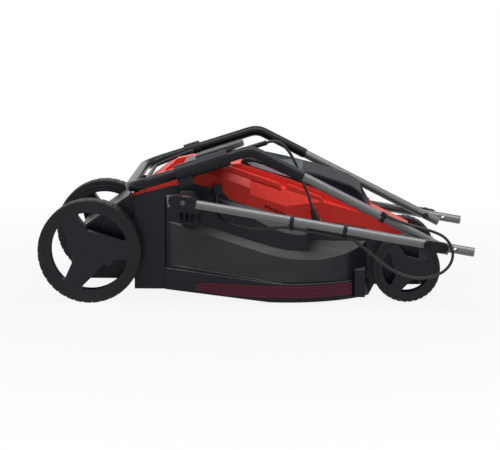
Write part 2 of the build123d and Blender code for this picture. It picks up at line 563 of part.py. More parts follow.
# ---------------------------------------------------------------- hood and carry handle
HOOD_TOP = [(112, 243), (150, 273), (172, 284), (215, 292), (330, 302),
            *fore((-260, 267), (-170, 233), (-130, 213), (-46, 172), (12, 144))]
BAND_FOOT = (355, 238)             # where the bright flank meets the outer skin, at a step
BAND_STEP = 14.0                   # how much higher it starts behind the step
BAND_START = 120
BAND_FALL = -0.338                 # its fall towards the front
BAND_LEAN = 1.95                   # its rise per millimetre inwards
LEDGE_WIDTH = 20.0
LEDGE_Y = 130.0
HOOD_FRONT = HOOD_TOP[-1]
BAY_X, BAY_Z = WHEELBASE - 230, 255.6   # middle of the bay's mouth on the hood's crest
BAY_TILT = 20.3
BAY_LENGTH = 232.0
BAY_HALF_WIDTH = 97.0
BAY_DEPTH = 64.0
BAY_WALL = 2.5
LID_HINGE = (WHEELBASE - 85, 196.6)
LID_PIN_RADIUS = 2.0
LID_LUGS = (-86, -54, 54, 86)
CARRY_HALF_WIDTH = 18.0
RECESS_REAR, RECESS_FRONT = 160.0, 247.0
RECESS_HALF_WIDTH = 68.0
RECESS_FLOOR_Z = 268.0


def hood_body(inset):
    """The hood's outer form, shrunk by an inset and then open downwards."""
    drop = 40 if inset else 0
    top = [(x, z - inset) for x, z in HOOD_TOP]
    seam = [(x, z - drop) for x, z in HOOD_SEAM[:-1]]
    outline = [(88, 236 - inset), *top, (HOOD_FRONT[0], HOOD_FRONT[1] - 6 - drop), *reversed(seam)]
    form = plan_prism(upper_plan(-inset), 60, 400)
    form &= side_prism(outline, -HOOD_HALF_WIDTH, HOOD_HALF_WIDTH)
    outer_y, ledge_y = HOOD_HALF_WIDTH - inset, LEDGE_Y - inset
    wall_y = ledge_y - LEDGE_WIDTH
    for x0, x1, rise in ((BAND_START, BAND_FOOT[0] - inset, BAND_STEP), (BAND_FOOT[0] - inset, NOSE_X, 0)):
        foot_z = BAND_FOOT[1] + BAND_FALL * (x0 - BAND_FOOT[0]) - inset / 2
        edge_z = foot_z + BAND_LEAN * (HOOD_HALF_WIDTH - LEDGE_Y)
        notch = [(-outer_y, foot_z + rise), (-ledge_y, edge_z), (-wall_y, edge_z + 3), (-wall_y, edge_z + 200),
                 (-outer_y - 20, edge_z + 200), (-outer_y - 20, foot_z + rise)]
        face = Pos(x0, 0, 0) * (Plane.YZ * make_face(Polyline(*notch, close=True)))
        cut = extrude(face, amount=(x1 - x0) * math.hypot(1, BAND_FALL), dir=(1, 0, BAND_FALL))
        form = form - cut - mirrored(cut)
    return form


def bay_place(shape):
    """Moves a piece drawn level into the sloping battery bay."""
    return Pos(BAY_X, 0, BAY_Z) * Rot(0, BAY_TILT, 0) * shape


def hood():
    body = hood_body(0) - hood_body(HOOD_WALL)
    body -= block(80, 108, -FLAP_HALF_WIDTH - 4, FLAP_HALF_WIDTH + 4, 200, 260)
    body -= bay_place(block(-BAY_LENGTH / 2, BAY_LENGTH / 2, -BAY_HALF_WIDTH, BAY_HALF_WIDTH, -80, 60))
    # a hand recess under the carrying bar
    recess = block(RECESS_REAR - HOOD_WALL, RECESS_FRONT + HOOD_WALL, -RECESS_HALF_WIDTH - HOOD_WALL,
                   RECESS_HALF_WIDTH + HOOD_WALL, RECESS_FLOOR_Z - HOOD_WALL, 330)
    body += recess & hood_body(0)
    body -= block(RECESS_REAR, RECESS_FRONT, -RECESS_HALF_WIDTH, RECESS_HALF_WIDTH, RECESS_FLOOR_Z, 330)
    for y in LID_LUGS:
        lug = side_prism(fore((-98, 190), (-74, 180), (-78, 199), (-90, 203)), y - 4, y + 4)
        body += lug
    return body - rod(*LID_HINGE, LID_PIN_RADIUS + SEAT_GAP, -LID_HALF_WIDTH, LID_HALF_WIDTH)


def hood_top(x):
    """A point on the hood's top line."""
    (x0, z0), (x1, z1) = [pair for pair in zip(HOOD_TOP, HOOD_TOP[1:]) if pair[0][0] <= x][-1]
    return x, z0 + (z1 - z0) * (x - x0) / (x1 - x0)


def carry_handle():
    """A bar along the middle of the hood, over the hand recess."""
    under = [hood_top(RECESS_REAR), (178, 284), (190, 293), (236, 298), hood_top(RECESS_FRONT)]
    over = [hood_top(300), (262, 312), (218, 309), (184, 302), (176, 293), hood_top(RECESS_REAR - 10)]
    return side_prism([*under, *over], -CARRY_HALF_WIDTH, CARRY_HALF_WIDTH)


keep("hood", hood())
keep("carry_handle", carry_handle())

LID_REAR = WHEELBASE - 369
LID_NOSE_RADIUS = 40.0
LID_CREST = fore((-369, 306), (-355, 314), (-275, 297), (-193, 277), (-124, 254), (-102, 239), (-90, 214),
                 (-81, 199))


def lid_form(inset):
    """The lid's outer form over the hood's crest, shrunk by an inset and open below."""
    drop = 30 if inset else 0
    seat = [(LID_REAR + inset, 302.5 - drop)] + [(x, z - drop) for x, z in fore(
        (-260, 267.4), (-170, 233.4), (-130, 213.4), (-96, 197))]
    crest = [(x + inset * (x < LID_REAR + 17) - inset * (x > LID_HINGE[0] - 27), z - inset)
             for x, z in LID_CREST]
    face = make_face(Polyline(*crest, *reversed(seat), close=True))
    nose = [v for v in face.vertices() if LID_HINGE[0] - 45 < v.X < LID_HINGE[0] - 14 and v.Y > BAY_Z - 20]
    face = fillet(nose, LID_NOSE_RADIUS - inset)
    half = LID_HALF_WIDTH - inset
    return cross(extrude(face, amount=2 * half), -half)


def lid_window_space(grow=0.0):
    return block(LID_REAR + 23 - grow, LID_REAR + 137 + grow, -84 - grow, 84 + grow, 262, 340)


def lid():
    shell = lid_form(0)
    long_edges = [e for e in shell.edges() if abs(e.center().Y) > LID_HALF_WIDTH - 1 and e.center().Z > 200
                  and e.center().Z > BAY_Z - 0.38 * (e.center().X - BAY_X) + 14]
    shell = fillet(long_edges, 5)
    shell -= lid_form(LID_WALL)
    window = shell & lid_window_space()
    frame = shell - lid_window_space(SEAT_GAP)
    for y in (-70, 70):
        frame += rod(*LID_HINGE, LID_PIN_RADIUS + 2.2, y - 11, y + 11)
        frame += side_prism([*fore((-96, 197.5)), LID_HINGE, *fore((-85, 199.5), (-96, 204))],
                            y - 11, y + 11)
    for y in LID_LUGS:
        frame -= block(LID_HINGE[0] - 16, LID_HINGE[0] + 23, y - 4.5, y + 4.5, 170, 206)
    frame -= rod(*LID_HINGE, LID_PIN_RADIUS + RUNNING_FIT, -LID_HALF_WIDTH, LID_HALF_WIDTH)
    keep("lid_frame", frame)
    keep("lid_window", window)
    keep("hinge_pins", rod(*LID_HINGE, LID_PIN_RADIUS, -91, 91))


lid()


# ---------------------------------------------------------------- battery bay
def tray():
    """An open box that hangs in the hood's mouth."""
    half_l, half_w = BAY_LENGTH / 2 - SEAT_GAP, BAY_HALF_WIDTH - SEAT_GAP
    box = block(-half_l, half_l, -half_w, half_w, -BAY_DEPTH, -4)
    box -= block(-half_l + BAY_WALL, half_l - BAY_WALL, -half_w + BAY_WALL, half_w - BAY_WALL,
                 -BAY_DEPTH + BAY_WALL, 0)
    box += block(-half_l + BAY_WALL, half_l - BAY_WALL, -3, 3, -BAY_DEPTH + BAY_WALL, -24)
    return bay_place(box)


def battery_pack(y):
    """A battery pack with a rounded crown and a latch key."""
    half = PACK_WIDTH / 2
    floor = -BAY_DEPTH + BAY_WALL + SKIN_GAP
    start = -BAY_LENGTH / 2 + BAY_WALL + PACK_TRAVEL + 2 * SKIN_GAP
    body = block(start, start + PACK_LENGTH, y - half, y + half, floor, floor + PACK_HEIGHT)
    body = fillet(body.edges().filter_by(Axis.X).group_by(Axis.Z)[-1], 8)
    body = fillet(body.edges().filter_by(Axis.Z), 5)
    crown = block(start + 8, start + 34, y - 12, y + 12, floor + PACK_HEIGHT - 1, floor + PACK_HEIGHT + 2.5)
    return bay_place(body + crown)


pack_y = (BAY_HALF_WIDTH - BAY_WALL + 3) / 2
keep("battery_tray", tray())
keep("battery_pack_right", battery_pack(-pack_y))
keep("battery_pack_left", battery_pack(pack_y))

pack_front = -BAY_LENGTH / 2 + BAY_WALL + PACK_TRAVEL + 2 * SKIN_GAP + PACK_LENGTH
tray_floor = -BAY_DEPTH + BAY_WALL
terminals = []
for y in (-pack_y, pack_y):
    terminal = block(pack_front + SKIN_GAP, pack_front + 22, y - 30, y + 30, tray_floor, tray_floor + 34)
    terminal += block(pack_front + 8, pack_front + 22, y - 18, y + 18, tray_floor, tray_floor + 44)
    terminals.append(bay_place(terminal))
key_x = pack_front + 48
key_socket = block(key_x - 14, key_x + 14, -44, -8, tray_floor, tray_floor + 26)
key_socket -= block(key_x - 2.4, key_x + 2.4, -36, -16, tray_floor + 8, tray_floor + 30)
keep("battery_terminals", *terminals, bay_place(key_socket))
key = block(key_x - 2, key_x + 2, -35, -17, tray_floor + 9, tray_floor + 28)
key += block(key_x - 5, key_x + 5, -42, -10, tray_floor + 27, tray_floor + 44)
keep("safety_key", bay_place(key))

board_x = RING_CENTRE_X + 74
controller = block(board_x, board_x + 80, -46, 46, TUB_FLOOR_Z, TUB_FLOOR_Z + 24)
controller -= [block(board_x + 4, board_x + 76, -40 + 10 * i, -35 + 10 * i, TUB_FLOOR_Z + 14,
                     TUB_FLOOR_Z + 30) for i in range(8)]
keep("motor_controller", controller)


# ---------------------------------------------------------------- handle mounts and lower bars
MOUNT_REACH = LOWER_TUBE_Y - TUBE_RADIUS - 3.0
SHOE_WALL = 3.0
SHOE_REAR, SHOE_FRONT = -32.0, 28.0
BOLT_HEAD_RADIUS = 7.0


def handle_mount():
    """A ribbed horn on the deck's flank that carries the lower bar's pivot."""
    horn = side_prism([(194, 210), (200, 246), (232, 244), (250, 222), (244, 204)],
                      -MOUNT_REACH, -PILLAR_HALF_WIDTH, 4)
    for i in range(3):
        y0 = -MOUNT_REACH + 9 + i * (MOUNT_REACH - PILLAR_HALF_WIDTH - 12) / 3
        horn -= block(203, 240, y0, y0 + 22, 190, 232)
    gusset = [(-PILLAR_HALF_WIDTH, 212), (-MOUNT_REACH + 4, 212), (-MOUNT_REACH + 14, 200),
              (-168, 178), (-PILLAR_HALF_WIDTH, 175)]
    rib = extrude(Plane.YZ * make_face(Polyline(*gusset, close=True)), amount=3)
    horn += [Pos(x, 0, 0) * rib for x in (200, 212, 224, 240)]
    horn -= rod(MOUNT_X, MOUNT_Z, BOLT_RADIUS + SEAT_GAP, -MOUNT_REACH - 1, -MOUNT_REACH + 20)
    horn -= [rod(x, MOUNT_SCREW_Z, SCREW_RADIUS + SEAT_GAP, -PILLAR_HALF_WIDTH - 12, 0) for x in MOUNT_SCREW_X]
    return horn


def lower_tube():
    start = along(MOUNT_X, MOUNT_Z, FOLD_SLOPE, SHOE_REAR + 8)
    end = along(FOLD_X, FOLD_Z, FOLD_SLOPE, LOWER_TUBE_TAIL)
    path = Line((start[0], -LOWER_TUBE_Y, start[1]), (end[0], -LOWER_TUBE_Y, end[1]))
    tube = swept(path, TUBE_RADIUS, TUBE_RADIUS - TUBE_WALL)
    y0, y1 = -LOWER_TUBE_Y - 2 * TUBE_RADIUS, -LOWER_TUBE_Y + 2 * TUBE_RADIUS
    lock = along(FOLD_X, FOLD_Z, FOLD_SLOPE, LOCK_HOLE)
    tube -= rod(MOUNT_X, MOUNT_Z, BOLT_RADIUS + RUNNING_FIT, y0, y1)
    tube -= rod(FOLD_X, FOLD_Z, BOLT_RADIUS + SEAT_GAP, y0, y1)
    return tube - rod(*lock, BOLT_RADIUS, y0, y1)


def bar_shoe():
    """The moulded end that turns on the mount's bolt."""
    half_h = TUBE_RADIUS + SHOE_WALL
    length = SHOE_FRONT - SHOE_REAR
    outline = SlotOverall(length, 2 * half_h) + Pos(length / 4, 0) * Rectangle(length / 2, 2 * half_h)
    solid = cross(extrude(outline, amount=2 * half_h - 1.5), -LOWER_TUBE_Y - half_h + 0.5)
    middle = along(MOUNT_X, MOUNT_Z, FOLD_SLOPE, (SHOE_FRONT + SHOE_REAR) / 2)
    solid = Pos(middle[0], 0, middle[1]) * Rot(0, -FOLD_SLOPE, 0) * solid
    start = along(MOUNT_X, MOUNT_Z, FOLD_SLOPE, SHOE_REAR + 8)
    end = along(MOUNT_X, MOUNT_Z, FOLD_SLOPE, SHOE_FRONT + 40)
    path = Line((start[0], -LOWER_TUBE_Y, start[1]), (end[0], -LOWER_TUBE_Y, end[1]))
    solid -= swept(path, TUBE_RADIUS + SEAT_GAP)
    return solid - rod(MOUNT_X, MOUNT_Z, BOLT_RADIUS + RUNNING_FIT, -LOWER_TUBE_Y - 30, -MOUNT_REACH + 30)


LOCK_HOLE = 43.0
keep("handle_mounts", *both(handle_mount()))
for x in MOUNT_SCREW_X:
    screw = rod(x, MOUNT_SCREW_Z, SCREW_RADIUS, -PILLAR_HALF_WIDTH - 11, -PILLAR_HALF_WIDTH + DECK_WALL + 2)
    screw += rod(x, MOUNT_SCREW_Z, 2 * SCREW_RADIUS, -PILLAR_HALF_WIDTH + DECK_WALL, -PILLAR_HALF_WIDTH + DECK_WALL + 3)
    keep("housing_screws", *both(screw))
shoe_outer = LOWER_TUBE_Y + TUBE_RADIUS + SHOE_WALL
pivot_bolt = rod(MOUNT_X, MOUNT_Z, BOLT_RADIUS, -shoe_outer - 1, -MOUNT_REACH + 12)
pivot_bolt += rod(MOUNT_X, MOUNT_Z, BOLT_HEAD_RADIUS, -shoe_outer - 4, -shoe_outer)
keep("pivot_bolts", *both(pivot_bolt))
keep("lower_bar_right", lower_tube())
keep("lower_bar_left", mirrored(lower_tube()))
keep("bar_shoes", *both(bar_shoe()))


# ---------------------------------------------------------------- upper bar
def upper_path(reach):
    """The centre line of the U bar, starting a given reach along the stay from the bend."""
    x, z = along(BEND_X, BEND_Z, STAY_ANGLE + 180, reach)
    points = [(x, -UPPER_TUBE_Y, z), (BEND_X, -UPPER_TUBE_Y, BEND_Z), (GRIP_X, -UPPER_TUBE_Y, GRIP_Z),
              (GRIP_X, UPPER_TUBE_Y, GRIP_Z), (BEND_X, UPPER_TUBE_Y, BEND_Z), (x, UPPER_TUBE_Y, z)]
    return FilletPolyline(*points, radius=[BEND_RADIUS, GRIP_CORNER, GRIP_CORNER, BEND_RADIUS])


def u_tube(reach, radius, inner=0.0):
    return swept(upper_path(reach), radius, inner)


STAY_LENGTH = math.hypot(FOLD_X - BEND_X, FOLD_Z - BEND_Z)
u_bar = u_tube(STAY_LENGTH + UPPER_TUBE_TAIL, TUBE_RADIUS, TUBE_RADIUS - TUBE_WALL)
u_bar -= rod(FOLD_X, FOLD_Z, BOLT_RADIUS + RUNNING_FIT, -UPPER_TUBE_Y - 20, UPPER_TUBE_Y + 20)
keep("upper_bar", u_bar)
keep("bar_sleeve", u_tube(FORE_GRIP, SLEEVE_RADIUS, TUBE_RADIUS + SEAT_GAP))

fold_bolt = rod(FOLD_X, FOLD_Z, BOLT_RADIUS, -LOWER_TUBE_Y - TUBE_RADIUS - 14, -UPPER_TUBE_Y + TUBE_RADIUS + 1)
fold_bolt += rod(FOLD_X, FOLD_Z, BOLT_HEAD_RADIUS, -UPPER_TUBE_Y + TUBE_RADIUS + 0.5,
                 -UPPER_TUBE_Y + TUBE_RADIUS + 5)
keep("fold_bolts", *both(fold_bolt))


def wing_knob():
    """A long two-winged nut on the fold bolt."""
    y1 = -LOWER_TUBE_Y - TUBE_RADIUS - SKIN_GAP
    wing = cross(extrude(SlotOverall(54, 24), amount=12), y1 - 12)
    wing -= [Pos(16 * side, 0, 0) * cross(extrude(SlotOverall(18, 9), amount=3), y1 - 12) for side in (-1, 1)]
    knob = wing + rod(0, 0, 13, y1 - 15, y1)
    knob = Pos(FOLD_X, 0, FOLD_Z) * Rot(0, -FOLD_SLOPE, 0) * knob
    return knob - rod(FOLD_X, FOLD_Z, BOLT_RADIUS + RUNNING_FIT, y1 - 14, y1 + 5)


keep("wing_knob_right", wing_knob())
keep("wing_knob_left", mirrored(wing_knob()))


# ---------------------------------------------------------------- switch housing and bail
HOUSING_REAR, HOUSING_FRONT = -171.0, -51.0
HOUSING_RADIUS = 18.0
BOX_REAR, BOX_FRONT = -149.0, -40.0
BOX_BASE, BOX_TOP = -2.0, 17.0
BOX_INNER_Y = -116.0
BUTTON_TRAVEL = 5.0
BUTTON_RADIUS = 6.5


def on_grip(shape):
    """Moves a piece drawn along X at the origin on to the grip leg, below the bend."""
    return Pos(BEND_X, 0, BEND_Z) * Rot(0, 180 - GRIP_ANGLE, 0) * shape


def grip_bar(radius, u0, u1, y, w=0.0):
    """A round bar along the grip leg."""
    return Pos((u0 + u1) / 2, y, w) * Rot(0, 90, 0) * Cylinder(radius, u1 - u0)


BAIL_X = 205.0
BAIL_Z = BEND_Z + (BAIL_X - BEND_X) * math.tan(math.radians(GRIP_ANGLE - 180))
BAIL_END_X = 119.0
BAIL_DROP = 7.0
BAIL_END_Z = BEND_Z + (BAIL_END_X - BEND_X) * math.tan(math.radians(GRIP_ANGLE - 180)) - BAIL_DROP


def switch_housing():
    y = -UPPER_TUBE_Y
    body = grip_bar(HOUSING_RADIUS, HOUSING_REAR, HOUSING_FRONT, y)
    body += block(BOX_REAR, BOX_FRONT, y, BOX_INNER_Y, BOX_BASE, BOX_TOP)
    body = fillet(body.edges().filter_by(Axis.X).filter_by(lambda e: e.center().Y > BOX_INNER_Y - 1), 6)
    body += side_prism([(-172, 0), (-134, 0), (-143, -32), (-173, -32)], y - 13, y + 14, 2)
    body -= block(BOX_REAR + 3, BOX_FRONT - 3, y + HOUSING_RADIUS + 2, BOX_INNER_Y - 3, BOX_BASE + 3, BOX_TOP - 3)
    body = on_grip(body)
    body -= u_tube(FORE_GRIP, SLEEVE_RADIUS + SEAT_GAP)
    body -= rod(BAIL_X, BAIL_Z, BAIL_RADIUS + RUNNING_FIT, y + SLEEVE_RADIUS - 2, BOX_INNER_Y)
    button = on_grip(Pos(-95, 0, 7.5) * rod(0, 0, BUTTON_RADIUS + SKIN_GAP, BOX_INNER_Y - 6, BOX_INNER_Y + 6))
    return body - button


def thumb_pad():
    """A ribbed soft plate on the housing's top with a round nose."""
    y0, y1 = -UPPER_TUBE_Y + 20, -UPPER_TUBE_Y + 82
    plate = block(-122, -39, y0, y1, BOX_TOP, BOX_TOP + 5)
    plate += block(BOX_FRONT + 0.1, -14, y0, y1, BOX_TOP - 6, BOX_TOP + 5)
    nose = [e for e in plate.edges().filter_by(Axis.Z) if e.center().X > -20]
    plate = fillet(nose, 20)
    plate -= [block(-116 + 6 * i, -114 + 6 * i, y0 + 6, y1 - 6, BOX_TOP + 4, BOX_TOP + 6) for i in range(15)]
    return on_grip(plate)


keep("switch_housing", switch_housing())
keep("thumb_pad", thumb_pad())
keep("start_button", on_grip(Pos(-95, 0, 7.5) * (
    rod(0, 0, BUTTON_RADIUS, BOX_INNER_Y - 12, BOX_INNER_Y + BUTTON_TRAVEL + 1))))
keep("switch_module", on_grip(block(-112, -78, -172, BOX_INNER_Y - 18, BOX_BASE + 3, BOX_TOP - 3)))


def bail():
    y_in = UPPER_TUBE_Y - SLEEVE_RADIUS - 0.5
    half = [(BAIL_X, -y_in, BAIL_Z), (BAIL_X, -BAIL_Y, BAIL_Z), (BAIL_END_X, -BAIL_Y, BAIL_END_Z)]
    points = half + [(x, -y, z) for x, y, z in reversed(half)]
    path = FilletPolyline(*points, radius=[9, 22, 22, 9])
    return swept(path, BAIL_RADIUS)


keep("bail", bail())
collar = grip_bar(HOUSING_RADIUS - 1, -180, -142, UPPER_TUBE_Y)
collar = on_grip(collar) - u_tube(FORE_GRIP, SLEEVE_RADIUS + SEAT_GAP)
collar -= rod(BAIL_X, BAIL_Z, BAIL_RADIUS + RUNNING_FIT, 150, UPPER_TUBE_Y - SLEEVE_RADIUS + 2)


# ---------------------------------------------------------------- cords and their fittings
def cord(name, points):
    """A cord along hand placed points, with arcs as large as its runs allow."""
    lengths = [(Vector(b) - Vector(a)).length for a, b in zip(points, points[1:])]
    radii = []
    for i in range(1, len(points) - 1):
        before, after = Vector(points[i]) - Vector(points[i - 1]), Vector(points[i + 1]) - Vector(points[i])
        half_turn = math.radians(before.get_angle(after)) / 2
        radii.append(0.45 * min(lengths[i - 1], lengths[i]) / math.tan(half_turn))
    path = FilletPolyline(*points, radius=radii) if radii else Line(*points)
    tube = swept(path, CORD_RADIUS)
    section = math.pi * CORD_RADIUS ** 2
    print(name, "radii", [round(r) for r in radii], "volume ratio", round(tube.volume / section / path.length, 4))
    keep(name, tube)


def bar_z(x):
    """Height of the lower bar's centre line."""
    return MOUNT_Z + (x - MOUNT_X) * math.tan(math.radians(FOLD_SLOPE))


CORD_DROP = 16.6                   # from the lower bar's centre to the cord in its clips
CLIPS = [(x, bar_z(x) - CORD_DROP) for x in (FOLD_X - 197, FOLD_X - 313)]
STAY_CLIP = (FOLD_X - 114, FOLD_Z - 114 * math.tan(math.radians(STAY_ANGLE)) + 9.6)
clip_ends = [(x, -LOWER_TUBE_Y, z) for x, z in CLIPS]
stay_start = along(*STAY_CLIP, STAY_ANGLE, 4)
stay_lead = along(*STAY_CLIP, STAY_ANGLE, -32)
lead_in = along(*CLIPS[0], FOLD_SLOPE, 16)
lead_out = along(*CLIPS[1], FOLD_SLOPE, -16)
LOOP_TURNS = [(-44, -240, 181), (-7, -245, 172), (21, -252, 160), (37, -261, 136), (36, -264, 108),
              (18, -261, 84), (-12, -257, 72), (-40, -254, 69), (-70, -251, 75), (-100, -249, 90),
              (-128, -247, 111)]
cord("cable_loop", [(stay_start[0], -236, stay_start[1]), (stay_lead[0], -236, stay_lead[1]), 
                    *[(FOLD_X + x, y, z) for x, y, z in LOOP_TURNS],
                    (FOLD_X - 156, -LOWER_TUBE_Y, 134), (lead_in[0], -LOWER_TUBE_Y, lead_in[1]), clip_ends[0]])
cord("cable_run", clip_ends)
cord("cable_tail", [clip_ends[1], (lead_out[0], -LOWER_TUBE_Y, lead_out[1]), (404, -244, 176),
                    (368, -241, 174), (334, -233, 180), (308, -214, 186), (292, -190, 189),
                    (283, -170, 198), (281, -160, 220), (281, -160, 240)])
BOOT_END = 36.0
boot_end = along(BEND_X, BEND_Z, GRIP_ANGLE - 180, BOOT_END, 2)
boot_lead = along(*boot_end, GRIP_ANGLE - 180, 14)
cord("signal_cable", [(boot_end[0], -186, boot_end[1]), (boot_lead[0], -186, boot_lead[1]), (422, -186, 358.5),
                      (438, -186, 343), (453, -187, 320), (464.5, -188, 294), (474, -189, 267),
                      (486, -190, 240), (493, -190, 212)])


def clip(x, z, y, angle, cord_x, cord_z, cord_y):
    """A snap ring on a bar with a small ring for the cord."""
    def ring(cx, cy, cz, outer, inner):
        bar = Rot(0, 90, 0) * (Cylinder(outer, 9) - Cylinder(inner, 20))
        return Pos(cx, cy, cz) * Rot(0, -angle, 0) * bar

    body = ring(x, y, z, TUBE_RADIUS + 2.2, TUBE_RADIUS + SEAT_GAP)
    small = ring(cord_x, cord_y, cord_z, CORD_RADIUS + 2, CORD_RADIUS + SEAT_GAP)
    gap = Pos(x, y, z) * Rot(0, -angle, 0) * Rot(0, 90, 0) * Cylinder(TUBE_RADIUS + SEAT_GAP, 20)
    return body + (small - gap)


keep("lower_cable_clips", *[clip(x, bar_z(x), -LOWER_TUBE_Y, FOLD_SLOPE, x, z, -LOWER_TUBE_Y)
                            for x, z in CLIPS])
stay_z = FOLD_Z + (STAY_CLIP[0] - FOLD_X) * math.tan(math.radians(STAY_ANGLE))
keep("bar_collars", collar, clip(STAY_CLIP[0], stay_z, -UPPER_TUBE_Y, STAY_ANGLE, *STAY_CLIP, -236))

boot = on_grip(grip_bar(5.5, BOX_FRONT, BOOT_END, -186, 2))
plug = loft([Pos(493, -190, 212) * Rot(0, -math.degrees(math.atan2(7, 28)), 0) * Circle(5), Pos(500, -190, 191) * Circle(8)])
plug += post(500, -190, 9.5, 184.85, 191)
keep("cable_boots", boot, plug)

arm = block(486, 514, -198, -100, 172, 182) - plan_prism(upper_plan(SEAT_GAP), 150, 200)
arm += post(500, -190, 12, 172, 184.8)
gland = block(270, 292, -PILLAR_HALF_WIDTH - 20, -PILLAR_HALF_WIDTH, 240, 259)
gland = fillet(gland.edges().filter_by(Axis.Z).sort_by(Axis.Y)[:2], 8)
keep("cable_sockets", arm, gland)


# ---------------------------------------------------------------- export
os.makedirs("parts", exist_ok=True)
for node, shapes in PARTS.items():
    group = Compound(children=[Pos(-MIDDLE_X, 0, 0) * shape for shape in shapes])
    export_step(group, f"parts/{node}.step")
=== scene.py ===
import json
import math
import bmesh
import bpy
from mathutils import Matrix, Vector


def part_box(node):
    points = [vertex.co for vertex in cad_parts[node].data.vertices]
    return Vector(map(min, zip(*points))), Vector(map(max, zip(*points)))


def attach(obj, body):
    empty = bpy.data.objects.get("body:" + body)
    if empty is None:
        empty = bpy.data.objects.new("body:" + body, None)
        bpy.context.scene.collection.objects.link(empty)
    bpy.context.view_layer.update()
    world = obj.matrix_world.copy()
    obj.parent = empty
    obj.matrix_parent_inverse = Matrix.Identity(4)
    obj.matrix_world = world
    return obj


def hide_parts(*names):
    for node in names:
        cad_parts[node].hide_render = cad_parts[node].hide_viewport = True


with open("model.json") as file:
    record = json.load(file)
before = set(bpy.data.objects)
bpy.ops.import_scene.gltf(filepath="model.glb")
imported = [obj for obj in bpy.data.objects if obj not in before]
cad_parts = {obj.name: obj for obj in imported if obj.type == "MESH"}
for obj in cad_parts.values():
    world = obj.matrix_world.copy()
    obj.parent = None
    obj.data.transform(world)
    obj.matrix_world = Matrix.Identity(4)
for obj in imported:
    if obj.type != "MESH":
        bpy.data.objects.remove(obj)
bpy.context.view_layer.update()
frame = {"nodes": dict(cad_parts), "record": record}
nodes = frame["nodes"]
slot_of = {s["node"]: s["material_slot"] for s in frame["record"]["subparts"]}
MM = 0.001


def centre(node):
    """Middle of a node's box."""
    low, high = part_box(node)
    return Vector([(a + b) / 2 for a, b in zip(low, high)])


REAR_AXLE_X = centre("rear_tyre_right").x


def at(x, y, z):
    """A point given in millimetres from the rear axle's middle, as a place in the frame."""
    return Vector((x * MM + REAR_AXLE_X, y * MM, z * MM))


# ------------------------------------------------------------------ sizes
# in millimetres, x from the rear axle
FOLD_X, FOLD_Z = 762, 140              # bolt between the lower bars and the stays
PIVOT_X, PIVOT_Z = 212, 233            # bolt between the lower bars and the deck
BEND_X, BEND_Z = 359, 345              # where the stays turn into the grip's legs
GRIP_X, GRIP_Z = 92, 260               # the grip's crossbar
CORD_RADIUS = 3.2
CORD_DROP = 16.6                       # from the lower bar's middle down to the cord in its clips
CLIP_XS = (565, 449)                   # front and rear clip on the lower bar
STAY_CLIP = (648, 207.6)               # x and z of the clip on the stay
CORD_Y, STAY_CORD_Y, SIGNAL_Y = -245, -236, -186
PILLAR_X = 165                         # front edge of the deck's pillars
DECK_HALF = 148                        # pillars' and hood's outer faces from the middle
RING_X, RING_R = 434, 209              # blade housing's centre and outside
LIP_FALL, LIP_FOOT_Z = 26, 46          # the lip's fall from the pillar to the ring, its height there
BEAD_RADIUS, BEAD_RUN = 1.1, 300       # the lip's beads, and how far forward they come down to it
RIB_X, RIB_Z, RIB_SLOPE = 310, 288, 0.335  # a place on the hood's edge and its fall forwards
RIB_FOOT, RIB_INNER_Y = 3, 113         # how deep the hood's ribs stand in it, their inner face
PIVOT_HEAD_Y, PIVOT_HEAD = 261.6, (4.6, 1.4)   # the bolt head's seat, its radius and height
PLUG_BACK, PLUG_RISE = 1.7, 9.9        # a bar's plug from the front and the foot of the bar's box
WHEELS = {                             # axle: x, z, outer radius, rim radius, outer and inner side's y
    "rear": (0, 115, 115, 96, 194, 149),
    "front": (702, 75, 75, 62, 165, 123)}
TYRE_BEAD, HUB_PLUG = 0.32, 0.13       # the bead's place up a tyre's side, the plug's share of a wheel
SIDES = (("right", -1), ("left", 1))


# ------------------------------------------------------------------ camera
CAMERA_PLACE = (518.03, -4857.01, 867.34)
CAMERA_DOWN, CAMERA_SWING = 8.43, -1.99    # degrees
CAMERA_LENS, CAMERA_SENSOR = 154.08, 36

camera = bpy.data.objects.new("camera", bpy.data.cameras.new("camera"))
bpy.context.scene.collection.objects.link(camera)
down, swing = math.radians(CAMERA_DOWN), math.radians(CAMERA_SWING)
ahead = Vector((math.sin(swing) * math.cos(down), math.cos(swing) * math.cos(down), -math.sin(down)))
right = Vector((math.cos(swing), -math.sin(swing), 0))
up = right.cross(ahead)
turn = Matrix((right, up, -ahead)).transposed().to_4x4()
camera.matrix_world = Matrix.Translation(at(*CAMERA_PLACE)) @ turn
camera.data.sensor_width = CAMERA_SENSOR
camera.data.lens = CAMERA_LENS
camera.data.clip_end = 60
bpy.context.scene.camera = camera


# ------------------------------------------------------------------ shader nodes
class Value:
    """A socket that takes part in Python expressions."""

    def __init__(self, tree, socket):
        self.tree, self.socket = tree, socket

    def maths(self, operation, *others, swap=False):
        terms = [self, *others]
        if swap:
            terms.reverse()
        return self.tree.node("ShaderNodeMath", {"operation": operation}, dict(enumerate(terms)))

    def __add__(self, other):
        return self.maths("ADD", other)

    def __sub__(self, other):
        return self.maths("SUBTRACT", other)

    def __rsub__(self, other):
        return self.maths("SUBTRACT", other, swap=True)

    def __mul__(self, other):
        return self.maths("MULTIPLY", other)

    def __pow__(self, other):
        return self.maths("POWER", other)

    def __gt__(self, other):
        return self.maths("GREATER_THAN", other)

    def __lt__(self, other):
        return self.maths("LESS_THAN", other)

    __radd__ = __add__
    __rmul__ = __mul__


